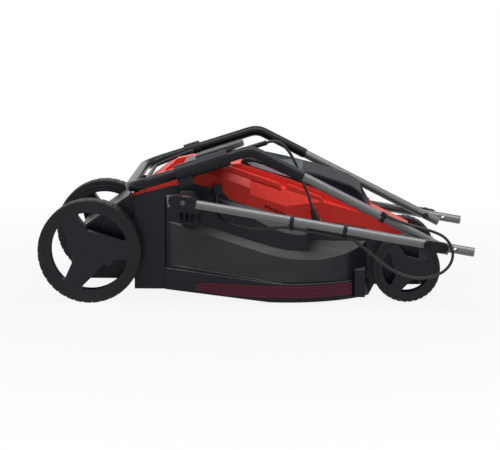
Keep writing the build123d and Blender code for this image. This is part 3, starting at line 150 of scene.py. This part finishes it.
class Tree:
    """A node tree and the one way in which its nodes are made."""

    def __init__(self, owner):
        owner.use_nodes = True
        self.owner, self.tree = owner, owner.node_tree

    def node(self, kind, settings, sockets, output=0):
        made = self.tree.nodes.new(kind)
        for key, value in settings.items():
            if key == "stops":
                ramp = made.color_ramp
                while len(ramp.elements) < len(value):
                    ramp.elements.new(0.5)
                for element, (place, colour) in zip(ramp.elements, value):
                    element.position = place
                    element.color = (*colour, 1)
            else:
                setattr(made, key, value)
        self.feed(made, sockets)
        return Value(self, made.outputs[output])

    def feed(self, made, sockets):
        for key, value in sockets.items():
            if isinstance(value, Value):
                self.tree.links.new(value.socket, made.inputs[key])
            else:
                made.inputs[key].default_value = value

    def seen(self):
        """One for what the eye sees straight, mirrored or through glass, none for plain bounces."""
        rays = [self.node("ShaderNodeLightPath", {}, {}, f"Is {kind} Ray")
                for kind in ("Camera", "Glossy", "Transmission")]
        return rays[0].maths("ADD", rays[1]).maths("MAXIMUM", rays[2]).maths("MINIMUM", 1.0)


class Finish(Tree):
    """A material under construction."""

    def __init__(self, name):
        super().__init__(bpy.data.materials.new(name))
        self.shader = self.tree.nodes["Principled BSDF"]
        self.place = self.node("ShaderNodeTexCoord", {}, {}, "Object")

    def noise(self, scale, detail=3.0, rough=0.55, place=None):
        """Clouds from none to one; a higher scale makes them smaller."""
        return self.node("ShaderNodeTexNoise", {}, {
            "Vector": place or self.place, "Scale": scale, "Detail": detail, "Roughness": rough})

    def grey(self, factor, low, high, start=0.0, end=1.0):
        """From low to high while the factor runs from start to end."""
        return self.node("ShaderNodeMapRange", {}, {
            "Value": factor, "From Min": start, "From Max": end, "To Min": low, "To Max": high})

    def mixed(self, factor, first, second):
        return self.node("ShaderNodeMix", {"data_type": "RGBA"}, {0: factor, 6: first, 7: second}, 2)

    def stretched(self, x, y, z):
        """Places scaled along each axis, for lines that run along the lowest scale."""
        return self.node("ShaderNodeVectorMath", {"operation": "MULTIPLY"},
                         {0: self.place, 1: (x, y, z)})

    def axis(self, output):
        """The place along x (0), y (1) or z (2), in metres."""
        return self.node("ShaderNodeSeparateXYZ", {}, {0: self.place}, output)

    def bump(self, height, distance, strength, normal):
        return self.node("ShaderNodeBump", {}, {
            "Height": height, "Distance": distance, "Strength": strength, "Normal": normal})

    def soft_edges(self, radius):
        return self.node("ShaderNodeBevel", {"samples": 8}, {"Radius": radius})

    def scratches(self, amount):
        """Fine rubbed lines that run mostly along the piece."""
        fine = self.noise(38, 6, 0.7, self.stretched(1, 5, 7))
        return self.grey(fine, 0, amount, 0.60, 0.72)

    def dust(self, height):
        """Dirt thrown up from the ground, thinning out with height."""
        spray = self.noise(55, 6, 0.72)
        low = self.grey(self.axis(2), 1, 0, 0.0, height)
        return self.grey(low * spray, 0, 1, 0.30, 0.62)

    def facing_up(self):
        """How far a face looks up, from none on upright walls to one on level tops."""
        normal = self.node("ShaderNodeNewGeometry", {}, {}, "Normal")
        return self.grey(self.node("ShaderNodeSeparateXYZ", {}, {0: normal}, 2), 0, 1, 0.45, 0.95)

    def set(self, **sockets):
        self.feed(self.shader, {key.replace("_", " "): value for key, value in sockets.items()})
        return self.owner


def colour(*rgb):
    """An opaque colour for a socket."""
    return (*rgb, 1.0)


def flank_masks(f):
    """The deck's flank panel ahead of the pillar, painted lighter as painted light, and a painted sheen
    on faces that look up.
    """
    ahead, wide = f.axis(0) - (REAR_AXLE_X + PILLAR_X * MM), (f.axis(1) * f.axis(1)) ** 0.5
    roof = 0.179 - 0.155 * ahead - 0.5 * (wide - DECK_HALF * MM)
    lip = (0.076 - 0.097 * ahead).maths("MAXIMUM", 0.051)
    beside = (wide > DECK_HALF * MM - 0.0005) * (ahead > 0.013) * f.grey(ahead, 1, 0, 0.30, 0.43)
    panel = beside * (f.axis(2) < roof) * (f.axis(2) > lip)
    # painted sheen: strongest on the flank panel near the pillar, fading forwards and broken into
    # patches; it stands in for reflected light
    sheen_fade = f.grey(ahead, 1, 0.2, 0.10, 0.27)
    patches = f.grey(f.noise(28, 5, 0.65), 0.7, 1.0)
    return panel, f.facing_up() * patches * (0.3 + 0.7 * panel * sheen_fade)


def moulded(name, dark, light, rough, specular, grain=0.00006, edge=0.0012, dirty=0.0, coat=0.0,
            sheen_strength=0.0):
    """Moulded plastic: faint flow clouds, rubbed lines, a fine grain and softened edges.

    dirty is the height that mud reaches, coat a glossy skin, and the last argument the strength of a
    painted sheen: pale grey standing in for reflected light on the deck's faces that look up.
    """
    f = Finish(name)
    tint = f.mixed(f.noise(9, 4), colour(*dark), colour(*light))
    rubbed = f.scratches(0.3)
    tint = f.mixed(rubbed, tint, colour(*[2.2 * c + 0.006 for c in light]))
    matt = f.grey(f.noise(70, 5, 0.7), rough - 0.05, rough + 0.06) + rubbed * 0.2
    if sheen_strength:
        panel, painted_sheen = flank_masks(f)
        # painted light: the flank panel is painted a lighter grey than the pillar, standing in for the
        # light that its leaning wall catches
        tint = f.mixed(panel * f.grey(f.noise(14, 4), 0.75, 1.0), tint, colour(0.072, 0.072, 0.078))
        # painted sheen: faces that look up turn pale grey, standing in for reflected light
        tint = f.mixed(painted_sheen * sheen_strength, tint, colour(0.27, 0.27, 0.26))
        matt = matt + painted_sheen * sheen_strength * 0.2
    if dirty:
        mud = f.dust(dirty)
        tint = f.mixed(mud * 0.30, tint, colour(0.055, 0.048, 0.040))
        matt = matt + mud * 0.25
    return f.set(Base_Color=tint, Roughness=matt, Specular_IOR_Level=specular,
                 Coat_Weight=f.grey(f.noise(60, 4), 0.8 * coat, 1.2 * coat) if coat else 0.0,
                 Coat_Roughness=0.12,
                 Normal=f.bump(f.noise(900, 2), grain, 0.5, f.soft_edges(edge)))


def red_plastic(name):
    """Red moulded plastic with rubbed lines."""
    f = Finish(name)
    tint = f.mixed(f.noise(7, 3), colour(0.72, 0.036, 0.028), colour(0.82, 0.052, 0.038))
    rubbed = f.scratches(0.25)
    tint = f.mixed(rubbed, tint, colour(0.84, 0.105, 0.080))
    return f.set(Base_Color=tint, Roughness=f.grey(f.noise(40, 5, 0.6), 0.34, 0.44) + rubbed * 0.2,
                 Specular_IOR_Level=0.18,
                 Normal=f.bump(f.noise(420, 2), 0.00004, 0.4, f.soft_edges(0.0015)))


def tyre_plastic():
    """Black tread with scuffs and dried mud."""
    f = Finish("tyre")
    grit = f.noise(240, 4)
    scuff = f.grey(f.noise(35, 6, 0.7), 0, 1, 0.5, 0.8)
    mud = f.dust(0.09)
    tint = f.mixed(scuff, colour(0.0050, 0.0052, 0.0065), colour(0.020, 0.021, 0.025))
    return f.set(Base_Color=f.mixed(mud * 0.4, tint, colour(0.060, 0.052, 0.044)),
                 Roughness=f.grey(grit, 0.5, 0.68), Specular_IOR_Level=0.28,
                 Normal=f.bump(grit, 0.00014, 0.6, f.soft_edges(0.001)))


def painted_tube(name, dark, light, metal, rough, specular):
    """Painted steel tube with a light metallic flake and faint draw lines along it."""
    f = Finish(name)
    lines = f.noise(30, 4, 0.6, f.stretched(1, 14, 14))
    rubbed = f.scratches(0.35)
    tint = f.mixed(lines, colour(*dark), colour(*light))
    return f.set(Base_Color=f.mixed(rubbed, tint, colour(*[1.6 * c for c in light])), Metallic=metal,
                 Roughness=f.grey(lines, rough - 0.05, rough + 0.08) + rubbed * 0.1,
                 Specular_IOR_Level=specular,
                 Normal=f.bump(f.noise(1500, 2), 0.00002, 0.5, f.soft_edges(0.0006)))


def bare_metal(name, tint, rough, scale=180):
    """Brushed metal with dull stains."""
    f = Finish(name)
    brushed = f.noise(scale, 5, 0.6, f.stretched(1, 6, 1))
    stain = f.grey(f.noise(60, 5, 0.7), 0, 0.5, 0.52, 0.75)
    bright = f.mixed(brushed, colour(*[0.75 * c for c in tint]), colour(*tint))
    return f.set(Base_Color=f.mixed(stain, bright, colour(*[0.5 * c for c in tint])), Metallic=1.0,
                 Roughness=f.grey(brushed, rough - 0.08, rough + 0.12) + stain * 0.2,
                 Normal=f.bump(brushed, 0.00003, 0.5, f.soft_edges(0.0005)))


def soft_sleeve(name, dark, light, pitch, rough, specular):
    """Closed foam or rubber with a fine skin."""
    f = Finish(name)
    cells = f.noise(pitch, 3)
    rubbed = f.grey(f.noise(18, 6, 0.7), 0, 0.5, 0.55, 0.8)
    tint = f.mixed(f.noise(24, 5), colour(*dark), colour(*light))
    return f.set(Base_Color=f.mixed(rubbed, tint, colour(*[2.0 * c for c in light])),
                 Roughness=f.grey(cells, rough - 0.06, rough + 0.08), Specular_IOR_Level=specular,
                 Normal=f.bump(cells, 0.00007, 0.5, f.soft_edges(0.0008)))


def smoked_window():
    """Dark glossy pane with wiped streaks."""
    f = Finish("smoked_window")
    streak = f.noise(30, 5, 0.6, f.stretched(1, 6, 1))
    tint = f.mixed(f.noise(12, 4), colour(0.030, 0.040, 0.056), colour(0.060, 0.078, 0.105))
    return f.set(Base_Color=tint, Roughness=f.grey(streak, 0.03, 0.13),
                 Coat_Weight=f.grey(streak, 0.16, 0.28), Coat_Roughness=0.03,
                 Specular_IOR_Level=0.0, Normal=f.soft_edges(0.001))


def painted_pane_reflection():
    """Pale bluish grey on the flanks of the lid's pane: a painted reflection of the light."""
    f = Finish("painted_pane_reflection")
    cloud = f.grey(f.noise(22, 4), 0, 1, 0.35, 0.65)
    return f.set(Base_Color=f.mixed(cloud, colour(0.22, 0.26, 0.32), colour(0.40, 0.44, 0.50)),
                 Roughness=f.grey(f.noise(60, 5), 0.06, 0.16), Specular_IOR_Level=0.35,
                 Normal=f.soft_edges(0.0006))


def strip_plastic():
    """Dark red comb strip with mud along its foot."""
    f = Finish("comb_strip")
    tint = f.mixed(f.noise(60, 4), colour(0.085, 0.004, 0.020), colour(0.17, 0.009, 0.040))
    mud = f.dust(0.05)
    return f.set(Base_Color=f.mixed(mud * 0.3, tint, colour(0.045, 0.038, 0.034)),
                 Roughness=f.grey(f.noise(200, 3), 0.34, 0.5), Specular_IOR_Level=0.3,
                 Normal=f.bump(f.noise(500, 2), 0.00005, 0.4, f.soft_edges(0.0005)))


def pad_rubber():
    """Speckled soft rubber."""
    f = Finish("thumb_rubber")
    speck = f.noise(900, 2, 0.5)
    specks = f.grey(speck, 0, 1, 0.42, 0.6)
    return f.set(Base_Color=f.mixed(specks, colour(0.016, 0.017, 0.019), colour(0.12, 0.126, 0.132)),
                 Roughness=f.grey(speck, 0.5, 0.7),
                 Normal=f.bump(speck, 0.0002, 0.7, f.soft_edges(0.0008)))


finishes = {
    # the deck's black carries painted light: a lighter flank panel and a pale sheen on faces that look
    # up
    "black_plastic": moulded("deck_black", (0.0190, 0.0215, 0.0300), (0.0290, 0.0320, 0.0430),
                             0.26, 0.15, edge=0.0018, dirty=0.08, sheen_strength=0.85),
    "dark_plastic": moulded("textured_black", (0.0120, 0.0130, 0.0165), (0.0190, 0.0205, 0.0250),
                            0.34, 0.17, 0.00010),
    "red_plastic": red_plastic("hood_red"),
    "wheel_plastic": moulded("wheel_black", (0.0120, 0.0130, 0.0195), (0.0190, 0.0205, 0.0290),
                             0.44, 0.22, 0.00008, dirty=0.12),
    "tyre_plastic": tyre_plastic(),
    "smoked_window": smoked_window(),
    "painted_pane_reflection": painted_pane_reflection(),
    "strip_plastic": strip_plastic(),
    "bar_paint": painted_tube("bar_grey", (0.150, 0.154, 0.158), (0.205, 0.210, 0.214),
                              0.25, 0.30, 0.55),
    # the stays share the bars' paint; this grey is a little darker, partly painted shade, set between
    # the lit near stay and the shaded far one
    "stay_paint": painted_tube("stay_grey_part_shaded", (0.135, 0.138, 0.142), (0.190, 0.194, 0.198),
                               0.25, 0.30, 0.5),
    "steel": bare_metal("zinc_steel", (0.55, 0.55, 0.56), 0.3),
    "blade_steel": bare_metal("ground_steel", (0.22, 0.22, 0.23), 0.4, 90),
    "motor_metal": bare_metal("cast_aluminium", (0.6, 0.6, 0.62), 0.42),
    "motor_core": bare_metal("core_steel", (0.2, 0.2, 0.21), 0.5, 600),
    "sleeve_rubber": soft_sleeve("grip_foam", (0.0080, 0.0092, 0.0125), (0.0135, 0.0150, 0.0195),
                                 420, 0.24, 0.17),
    "cord_rubber": soft_sleeve("cord_rubber", (0.0055, 0.0055, 0.0060), (0.0100, 0.0100, 0.0112),
                               900, 0.36, 0.4),
    "pad_rubber": pad_rubber(),
    "pack_plastic": moulded("pack_black", (0.014, 0.014, 0.016), (0.022, 0.022, 0.025),
                            0.48, 0.4, 0.00012),
    "key_red": red_plastic("key_red"),
    "terminal_plastic": moulded("contact_black", (0.016, 0.016, 0.018), (0.026, 0.026, 0.028),
                                0.4, 0.4),
    "board_metal": bare_metal("fin_aluminium", (0.5, 0.5, 0.52), 0.4),
    "dull_steel": bare_metal("dulled_steel", (0.13, 0.13, 0.14), 0.45),
    # a near black for slots and vents: painted shade standing in for the shade inside them
    "gap_shade": moulded("shaded_gap", (0.0040, 0.0042, 0.0050), (0.0060, 0.0062, 0.0074), 0.8, 0.04),
    # a black lighter than the deck's, for painted highlight lines along the lip
    "lip_highlight_gloss": moulded("lip_highlight_black", (0.060, 0.062, 0.068), (0.095, 0.098, 0.106),
                          0.16, 0.6, 0.00002),
}
dark_bolts = bare_metal("blackened_steel", (0.045, 0.046, 0.050), 0.38)
dark_lid = moulded("lid_black", (0.0100, 0.0125, 0.0180), (0.0165, 0.0200, 0.0275), 0.30, 0.0,
                   edge=0.0022, coat=0.14)
black_bail = painted_tube("bail_black", (0.010, 0.010, 0.012), (0.018, 0.018, 0.021), 0.2, 0.36, 0.3)
special = {"rear_axle": dark_bolts, "front_axle": dark_bolts, "fold_bolts": dark_bolts,
           "pivot_bolts": dark_bolts, "lid_frame": dark_lid, "bail": black_bail}
for name, piece in nodes.items():
    piece.data.materials.clear()
    piece.data.materials.append(special.get(name, finishes[slot_of[name]]))


def finish_piece(piece, slot, body):
    """Puts a new piece in the scene with its finish, and on the body that it moves with."""
    bpy.context.scene.collection.objects.link(piece)
    piece.data.materials.clear()
    piece.data.materials.append(finishes[slot])
    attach(piece, body)
    return piece


# ------------------------------------------------------------------ cords
def curve(name, kind, radius, roundness, places):
    """A round line along a row of points: its data and its spline."""
    data = bpy.data.curves.new(name, "CURVE")
    data.dimensions = "3D"
    data.bevel_depth = radius * MM
    data.bevel_resolution = roundness
    data.use_fill_caps = True
    spline = data.splines.new(kind)
    spline.points.add(len(places) - 1)
    for point, place in zip(spline.points, places):
        point.co = (*at(*place), 1)
    return data, spline


def cord(name, points):
    """A smooth cord with the route's points as its control points."""
    data, spline = curve(name, "NURBS", CORD_RADIUS, 6, points)
    data.resolution_u = 8
    spline.order_u = 3
    spline.use_endpoint_u = True
    return bpy.data.objects.new(name, data), spline.calc_length()


FOLD_SLOPE = math.atan2(FOLD_Z - PIVOT_Z, FOLD_X - PIVOT_X)
STAY_ANGLE = math.atan2(BEND_Z - FOLD_Z, BEND_X - FOLD_X)
GRIP_ANGLE = math.atan2(BEND_Z - GRIP_Z, BEND_X - GRIP_X)


def on_line(x, y, z, angle, distance):
    """A point some way along a line that leans in the side view."""
    return x + distance * math.cos(angle), y, z + distance * math.sin(angle)


def clip(x):
    """Where the cord lies in a clip under the lower bar."""
    return x, CORD_Y, PIVOT_Z + (x - PIVOT_X) * math.tan(FOLD_SLOPE) - CORD_DROP


def on_grip(u, w):
    """A point for the signal cord on the grip leg's own axes."""
    return (BEND_X + u * math.cos(GRIP_ANGLE) - w * math.sin(GRIP_ANGLE), SIGNAL_Y,
            BEND_Z + u * math.sin(GRIP_ANGLE) + w * math.cos(GRIP_ANGLE))


front_clip, rear_clip = clip(CLIP_XS[0]), clip(CLIP_XS[1])
stay_clip = (STAY_CLIP[0], STAY_CORD_Y, STAY_CLIP[1])
loop_points = [on_line(*stay_clip, STAY_ANGLE, 4), on_line(*stay_clip, STAY_ANGLE, -32),
               (718, -240, 181), (755, -245, 172), (783, -252, 160), (799, -261, 136),
               (798, -264, 108), (780, -261, 84), (750, -257, 72), (722, -254, 69), (692, -251, 75),
               (662, -249, 90), (634, -247, 111), (606, -245, 134),
               on_line(*front_clip, FOLD_SLOPE, 16), front_clip]
tail_points = [rear_clip, on_line(*rear_clip, FOLD_SLOPE, -16), (404, -244, 176), (368, -241, 174),
               (334, -233, 180), (308, -214, 186), (292, -190, 189), (283, -170, 198), (281, -160, 220),
               (281, -160, 240)]
signal_points = [on_grip(36, 2), on_grip(50, 2), (422, -186, 358.5), (438, -186, 343),
                 (453, -187, 320), (464.5, -188, 294), (474, -189, 267), (486, -190, 240),
                 (493, -190, 212)]
for name, points, body, replaced, lay in (
        ("loop_cord", loop_points, "upper_handle", "cable_loop", "loose"),
        ("tail_cord", tail_points, "deck", "cable_tail", "hanging"),
        ("signal_cord", signal_points, "upper_handle", "signal_cable", "loose")):
    piece, length = cord(name, points)
    finish_piece(piece, "cord_rubber", body)
    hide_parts(replaced)
    tuple(at(*points[0]))


# ------------------------------------------------------------------ small moulded and turned details
def shaded(mesh, shape, sharp, slot, body):
    """Fills a mesh from its shape; edges under the sharp angle shade smoothly."""
    bmesh.ops.recalc_face_normals(shape, faces=shape.faces)
    shape.to_mesh(mesh)
    shape.free()
    mesh.shade_smooth()
    mesh.set_sharp_from_angle(angle=math.radians(sharp))
    return finish_piece(bpy.data.objects.new(mesh.name, mesh), slot, body)


def solid(name, places, faces, slot, body, soften=0.0):
    """A piece from corner points in millimetres, with rounded edges where asked."""
    mesh = bpy.data.meshes.new(name)
    mesh.from_pydata([at(*place) for place in places], [], faces)
    shape = bmesh.new()
    shape.from_mesh(mesh)
    piece = shaded(mesh, shape, 32, slot, body)
    if soften:
        edges = piece.modifiers.new("rounded", "BEVEL")
        edges.width = soften * MM
        edges.segments = 3
        edges.limit_method = "ANGLE"
        edges.harden_normals = True
    return piece


def prism(name, outline, y0, y1, slot, body, soften=0.0):
    """An (x, z) outline run from y0 to y1."""
    n = len(outline)
    places = [(x, y, z) for y in (y0, y1) for x, z in outline]
    faces = [tuple(range(n)), tuple(range(2 * n - 1, n - 1, -1))]
    faces += [(i, (i + 1) % n, (i + 1) % n + n, i + n) for i in range(n)]
    return solid(name, places, faces, slot, body, soften)


def turned(name, middle, out, profile, slot, body):
    """A (radius, height) profile turned about an axis that points out.

    The profile starts and ends on the axis, or else it closes on itself.
    """
    steps = 72
    out = Vector(out).normalized()
    side = out.orthogonal().normalized()
    third = out.cross(side)
    middle = Vector(middle)
    places, rings = [], []
    for radius, height in profile:
        ring = [] if radius else [len(places)] * steps
        for i in range(steps if radius else 1):
            a = 2 * math.pi * i / steps
            places.append(middle + out * height + (side * math.cos(a) + third * math.sin(a)) * radius)
            if radius:
                ring.append(len(places) - 1)
        rings.append(ring)
    if profile[0][0]:
        rings.append(rings[0])
    faces = []
    for low, high in zip(rings, rings[1:]):
        for i in range(steps):
            j = (i + 1) % steps
            corners = [low[i], low[j], high[j], high[i]]
            faces.append(tuple(dict.fromkeys(corners)))
    return solid(name, places, faces, slot, body)


def bolt_head(name, middle, out, radius, height, slot, body):
    """A pan head with a cross recess for the driver."""
    arms, steps, flat = 4, 48, 0.78
    middle, out, side = Vector(middle), Vector(out), Vector((1, 0, 0))
    third = out.cross(side)
    star = []
    for i in range(arms):
        for reach, turn in ((0.58, -0.16), (0.58, 0.16), (0.2, math.pi / arms)):
            a = 2 * math.pi * i / arms + turn
            star.append((radius * reach * math.cos(a), radius * reach * math.sin(a)))
    rim = [(flat * radius * math.cos(a), flat * radius * math.sin(a))
           for a in (2 * math.pi * i / steps for i in range(steps))]
    shape = bmesh.new()

    def loop(ring, level, scale=1.0):
        return [shape.verts.new(at(*(middle + (side * u + third * w) * scale + out * level)))
                for u, w in ring]

    def wall(low, high):
        for i in range(len(low)):
            j = (i + 1) % len(low)
            shape.faces.new((low[i], low[j], high[j], high[i]))

    top_star, top_rim = loop(star, height), loop(rim, height)
    deep = loop(star, height * 0.25, 0.9)
    wall(deep, top_star)
    shape.faces.new(deep)
    edges = [shape.edges.get((a, b)) or shape.edges.new((a, b))
             for ring in (top_star, top_rim) for a, b in zip(ring, ring[1:] + ring[:1])]
    bmesh.ops.triangle_fill(shape, use_beauty=True, edges=edges)
    skirt = [top_rim, loop(rim, 0.86 * height, 1.16), loop(rim, 0.5 * height, 1.26),
             loop(rim, 0.0, 1.28)]
    for high, low in zip(skirt, skirt[1:]):
        wall(low, high)
    shape.faces.new(skirt[-1])
    return shaded(bpy.data.meshes.new(name), shape, 35, slot, body)


# wheels: a bead on each side of a tyre and a plug in the hub
for axle, (x, z, outer, seat, out_y, in_y) in WHEELS.items():
    for side, sign in SIDES:
        body = f"{axle}_wheel_{side}"
        for face, y, way in (("outer", out_y, 1), ("inner", in_y, -1)):
            r = seat + TYRE_BEAD * (outer - seat)
            turned(f"{axle}_{side}_{face}_bead", (x, sign * y, z), (0, sign * way, 0),
                   [(r - 1.6, -0.6), (r - 0.9, 0.45), (r, 0.75), (r + 0.9, 0.45), (r + 1.6, -0.6)],
                   "tyre_plastic", body)
        r = HUB_PLUG * outer + 2
        turned(f"{axle}_{side}_hub_plug", (x, sign * out_y, z), (0, sign, 0),
               [(0, 0.5), (r - 3.4, 0.5), (r - 2.6, 0.05), (r - 1.8, 0.05), (r - 1.1, 0.8), (r, 0.5),
                (r + 0.3, -0.4), (0, -0.4)], "wheel_plastic", body)

# the handle's pivot, dark strips of painted shade for the pillar's slot and the hood's vents, and the
# plugs in the lower bars
bar_line = (math.cos(FOLD_SLOPE), 0, math.sin(FOLD_SLOPE))
for side, sign in SIDES:
    bolt_head(f"pivot_head_{side}", (PIVOT_X, sign * PIVOT_HEAD_Y, PIVOT_Z), (0, sign, 0), *PIVOT_HEAD,
              "dull_steel", "deck")
    prism(f"mount_bracket_{side}",
          [(175, 248), (228, 246), (228, 242), (181, 244), (184, 222), (178, 221)],
          sign * 242, sign * 245, "bar_paint", "lower_handle", 0.6)
    # painted shade: a dark strip stands for the shade in the slot at the pillar's front edge
    prism(f"pillar_slot_shade_{side}",
          [(PILLAR_X, 74), (PILLAR_X + 3, 74), (PILLAR_X + 3, 232), (PILLAR_X, 232)],
          sign * (DECK_HALF - 0.5), sign * (DECK_HALF + 0.9), "gap_shade", "deck")
    # painted shade: dark prisms stand for the shade inside the hood's vents
    for k in range(7):
        x, z = 388 + 6.6 * k, 209.5 - 2.9 * k
        prism(f"hood_vent_{side}_{k}", [(x, z), (x + 4, z - 1.8), (x + 4, z + 3), (x, z + 4.8)],
              sign * (DECK_HALF - 1), sign * (DECK_HALF + 0.6), "gap_shade", "deck", 0.3)
    low, high = [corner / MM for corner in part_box(f"lower_bar_{side}")]
    tip = Vector((high.x - REAR_AXLE_X / MM - PLUG_BACK, (low.y + high.y) / 2, low.z + PLUG_RISE))
    turned(f"tube_plug_{side}", tip, bar_line,
           [(0, -1.2), (6.4, -1.2), (7.0, -2.2), (8.3, -2.2), (8.3, -6), (0, -6)],
           "dark_plastic", "lower_handle")


# the hood's top edge carries raised ribs beside the lid; thin pale panes on the lid's flanks are a
# painted reflection
def on_hood_edge(x, rise):
    """A point some way above the hood's edge, in the side view."""
    return x, RIB_Z - (x - RIB_X) * RIB_SLOPE + rise


# name, rear and front end, rise there, outer face from the middle
RIBS = (("rear", 292, 425, 10, 9, 134.0),
        ("front", 431, 520, 14, 9, 130.0))
for side, sign in SIDES:
    for name, x0, x1, rise_rear, rise_front, out_y in RIBS:
        outline = [on_hood_edge(x0, -RIB_FOOT), on_hood_edge(x1, -RIB_FOOT),
                   on_hood_edge(x1 - 6, rise_front), on_hood_edge(x0 + 7, rise_rear)]
        prism(f"hood_rib_{name}_{side}", outline, sign * RIB_INNER_Y, sign * out_y,
              "red_plastic", "deck", 1.4)
    # painted reflection: a thin pale bluish sheet on each flank of the lid
    prism(f"lid_pane_reflection_{side}",
          [(347, 303.5), (362, 304.2), (384, 298), (444, 271.5), (420, 276.5), (357, 295.6)],
          sign * 103.4, sign * 104.7, "painted_pane_reflection", "lid", 0.35)


# two thin beads along the blade housing's lower lip, in a lighter black than the deck: painted
# highlight lines on the lip's edges
def skirt_line(grow, start, end, rise):
    """Points on the left flank and round the housing, as far out as grow.

    The line runs rise above the lip at the pillar and comes down to it further forward.
    """
    steps, radius, half = 40, RING_R + grow, DECK_HALF + grow
    span = RING_X - PILLAR_X
    touch = math.atan2(half, span) + math.acos(radius / math.hypot(span, half))
    touch_x = RING_X - radius * math.cos(touch)
    touch_y = radius * math.sin(touch)
    places = []
    for i in range(steps + 1):
        x = start + (end - start) * i / steps
        if x < touch_x:
            y = half + (touch_y - half) * (x - PILLAR_X) / (touch_x - PILLAR_X)
        else:
            y = math.sqrt(radius ** 2 - (x - RING_X) ** 2)
        lip = LIP_FOOT_Z + LIP_FALL * max(0.0, 1 - (x - PILLAR_X) / span)
        places.append((x, y, lip + rise * max(0.0, 1 - (x - PILLAR_X) / BEAD_RUN)))
    return places


# name, distance out from the skirt, rear and front end, rise at the pillar
BEADS = (("lip_bead", 4.2, 168, 575, 0.2),
         ("panel_bead", -0.2, 186, 430, 8.5))
for side, sign in SIDES:
    for name, *run in BEADS:
        places = [(x, sign * y, z) for x, y, z in skirt_line(*run)]
        line, _ = curve(f"{name}_{side}", "POLY", BEAD_RADIUS, 3, places)
        finish_piece(bpy.data.objects.new(f"{name}_{side}", line), "lip_highlight_gloss", "deck")


# ------------------------------------------------------------------ floor, lamps and world
FLOOR_REACH = 30                       # metres
FLOOR_FADE = (0.90, 1.0, 0.5, 1.6)     # its own glow near and far, and the distances where it turns
WORLD_FILL = 0.12                      # the world's light on the mower
WHITE = colour(1, 1, 1)


def floor():
    """A pale floor that keeps the soft shadow and runs out into white."""
    mesh = bpy.data.meshes.new("floor")
    reach = FLOOR_REACH
    corners = [(-reach, -reach, 0), (reach, -reach, 0), (reach, reach, 0), (-reach, reach, 0)]
    mesh.from_pydata(corners, [], [(0, 1, 2, 3)])
    piece = bpy.data.objects.new("floor", mesh)
    bpy.context.scene.collection.objects.link(piece)
    f = Finish("floor")
    tint = f.mixed(f.noise(0.6), colour(0.44, 0.44, 0.44), colour(0.48, 0.48, 0.48))
    f.set(Base_Color=tint, Roughness=0.9, Specular_IOR_Level=0.1)
    glow = f.node("ShaderNodeEmission", {}, {"Color": WHITE, "Strength": 1.0})
    away = f.node("ShaderNodeVectorMath", {"operation": "LENGTH"}, {0: f.place}, "Value")
    share = f.seen() * f.grey(away, *FLOOR_FADE)
    mix = f.node("ShaderNodeMixShader", {}, {0: share, 1: Value(f, f.shader.outputs[0]), 2: glow})
    f.feed(f.tree.nodes["Material Output"], {"Surface": mix})
    mesh.materials.append(f.owner)


floor()


def lamp(name, place, target, size, power):
    """A soft box of a size in metres and a power in watts, turned to its target."""
    data = bpy.data.lights.new(name, "AREA")
    data.shape = "RECTANGLE"
    data.size, data.size_y = size
    data.energy = power
    piece = bpy.data.objects.new(name, data)
    bpy.context.scene.collection.objects.link(piece)
    piece.location = place
    piece.rotation_euler = (Vector(target) - Vector(place)).to_track_quat("-Z", "Y").to_euler()


lamp("top_box", (0.0, -0.62, 2.5), (0, 0.0, 0.1), (3.2, 1.2), 66)
lamp("front_box", (-0.8, -2.8, 1.2), (0, 0, 0.15), (2.0, 0.9), 1.0)
lamp("side_box", (2.6, -0.6, 1.4), (0, 0, 0.2), (1.2, 1.2), 4)

world = bpy.data.worlds.new("studio")
bpy.context.scene.world = world
sky = Tree(world)
sky.feed(sky.tree.nodes["Background"],
         {"Color": WHITE, "Strength": WORLD_FILL + (1 - WORLD_FILL) * sky.seen()})
bpy.context.scene.view_settings.view_transform = "Standard"
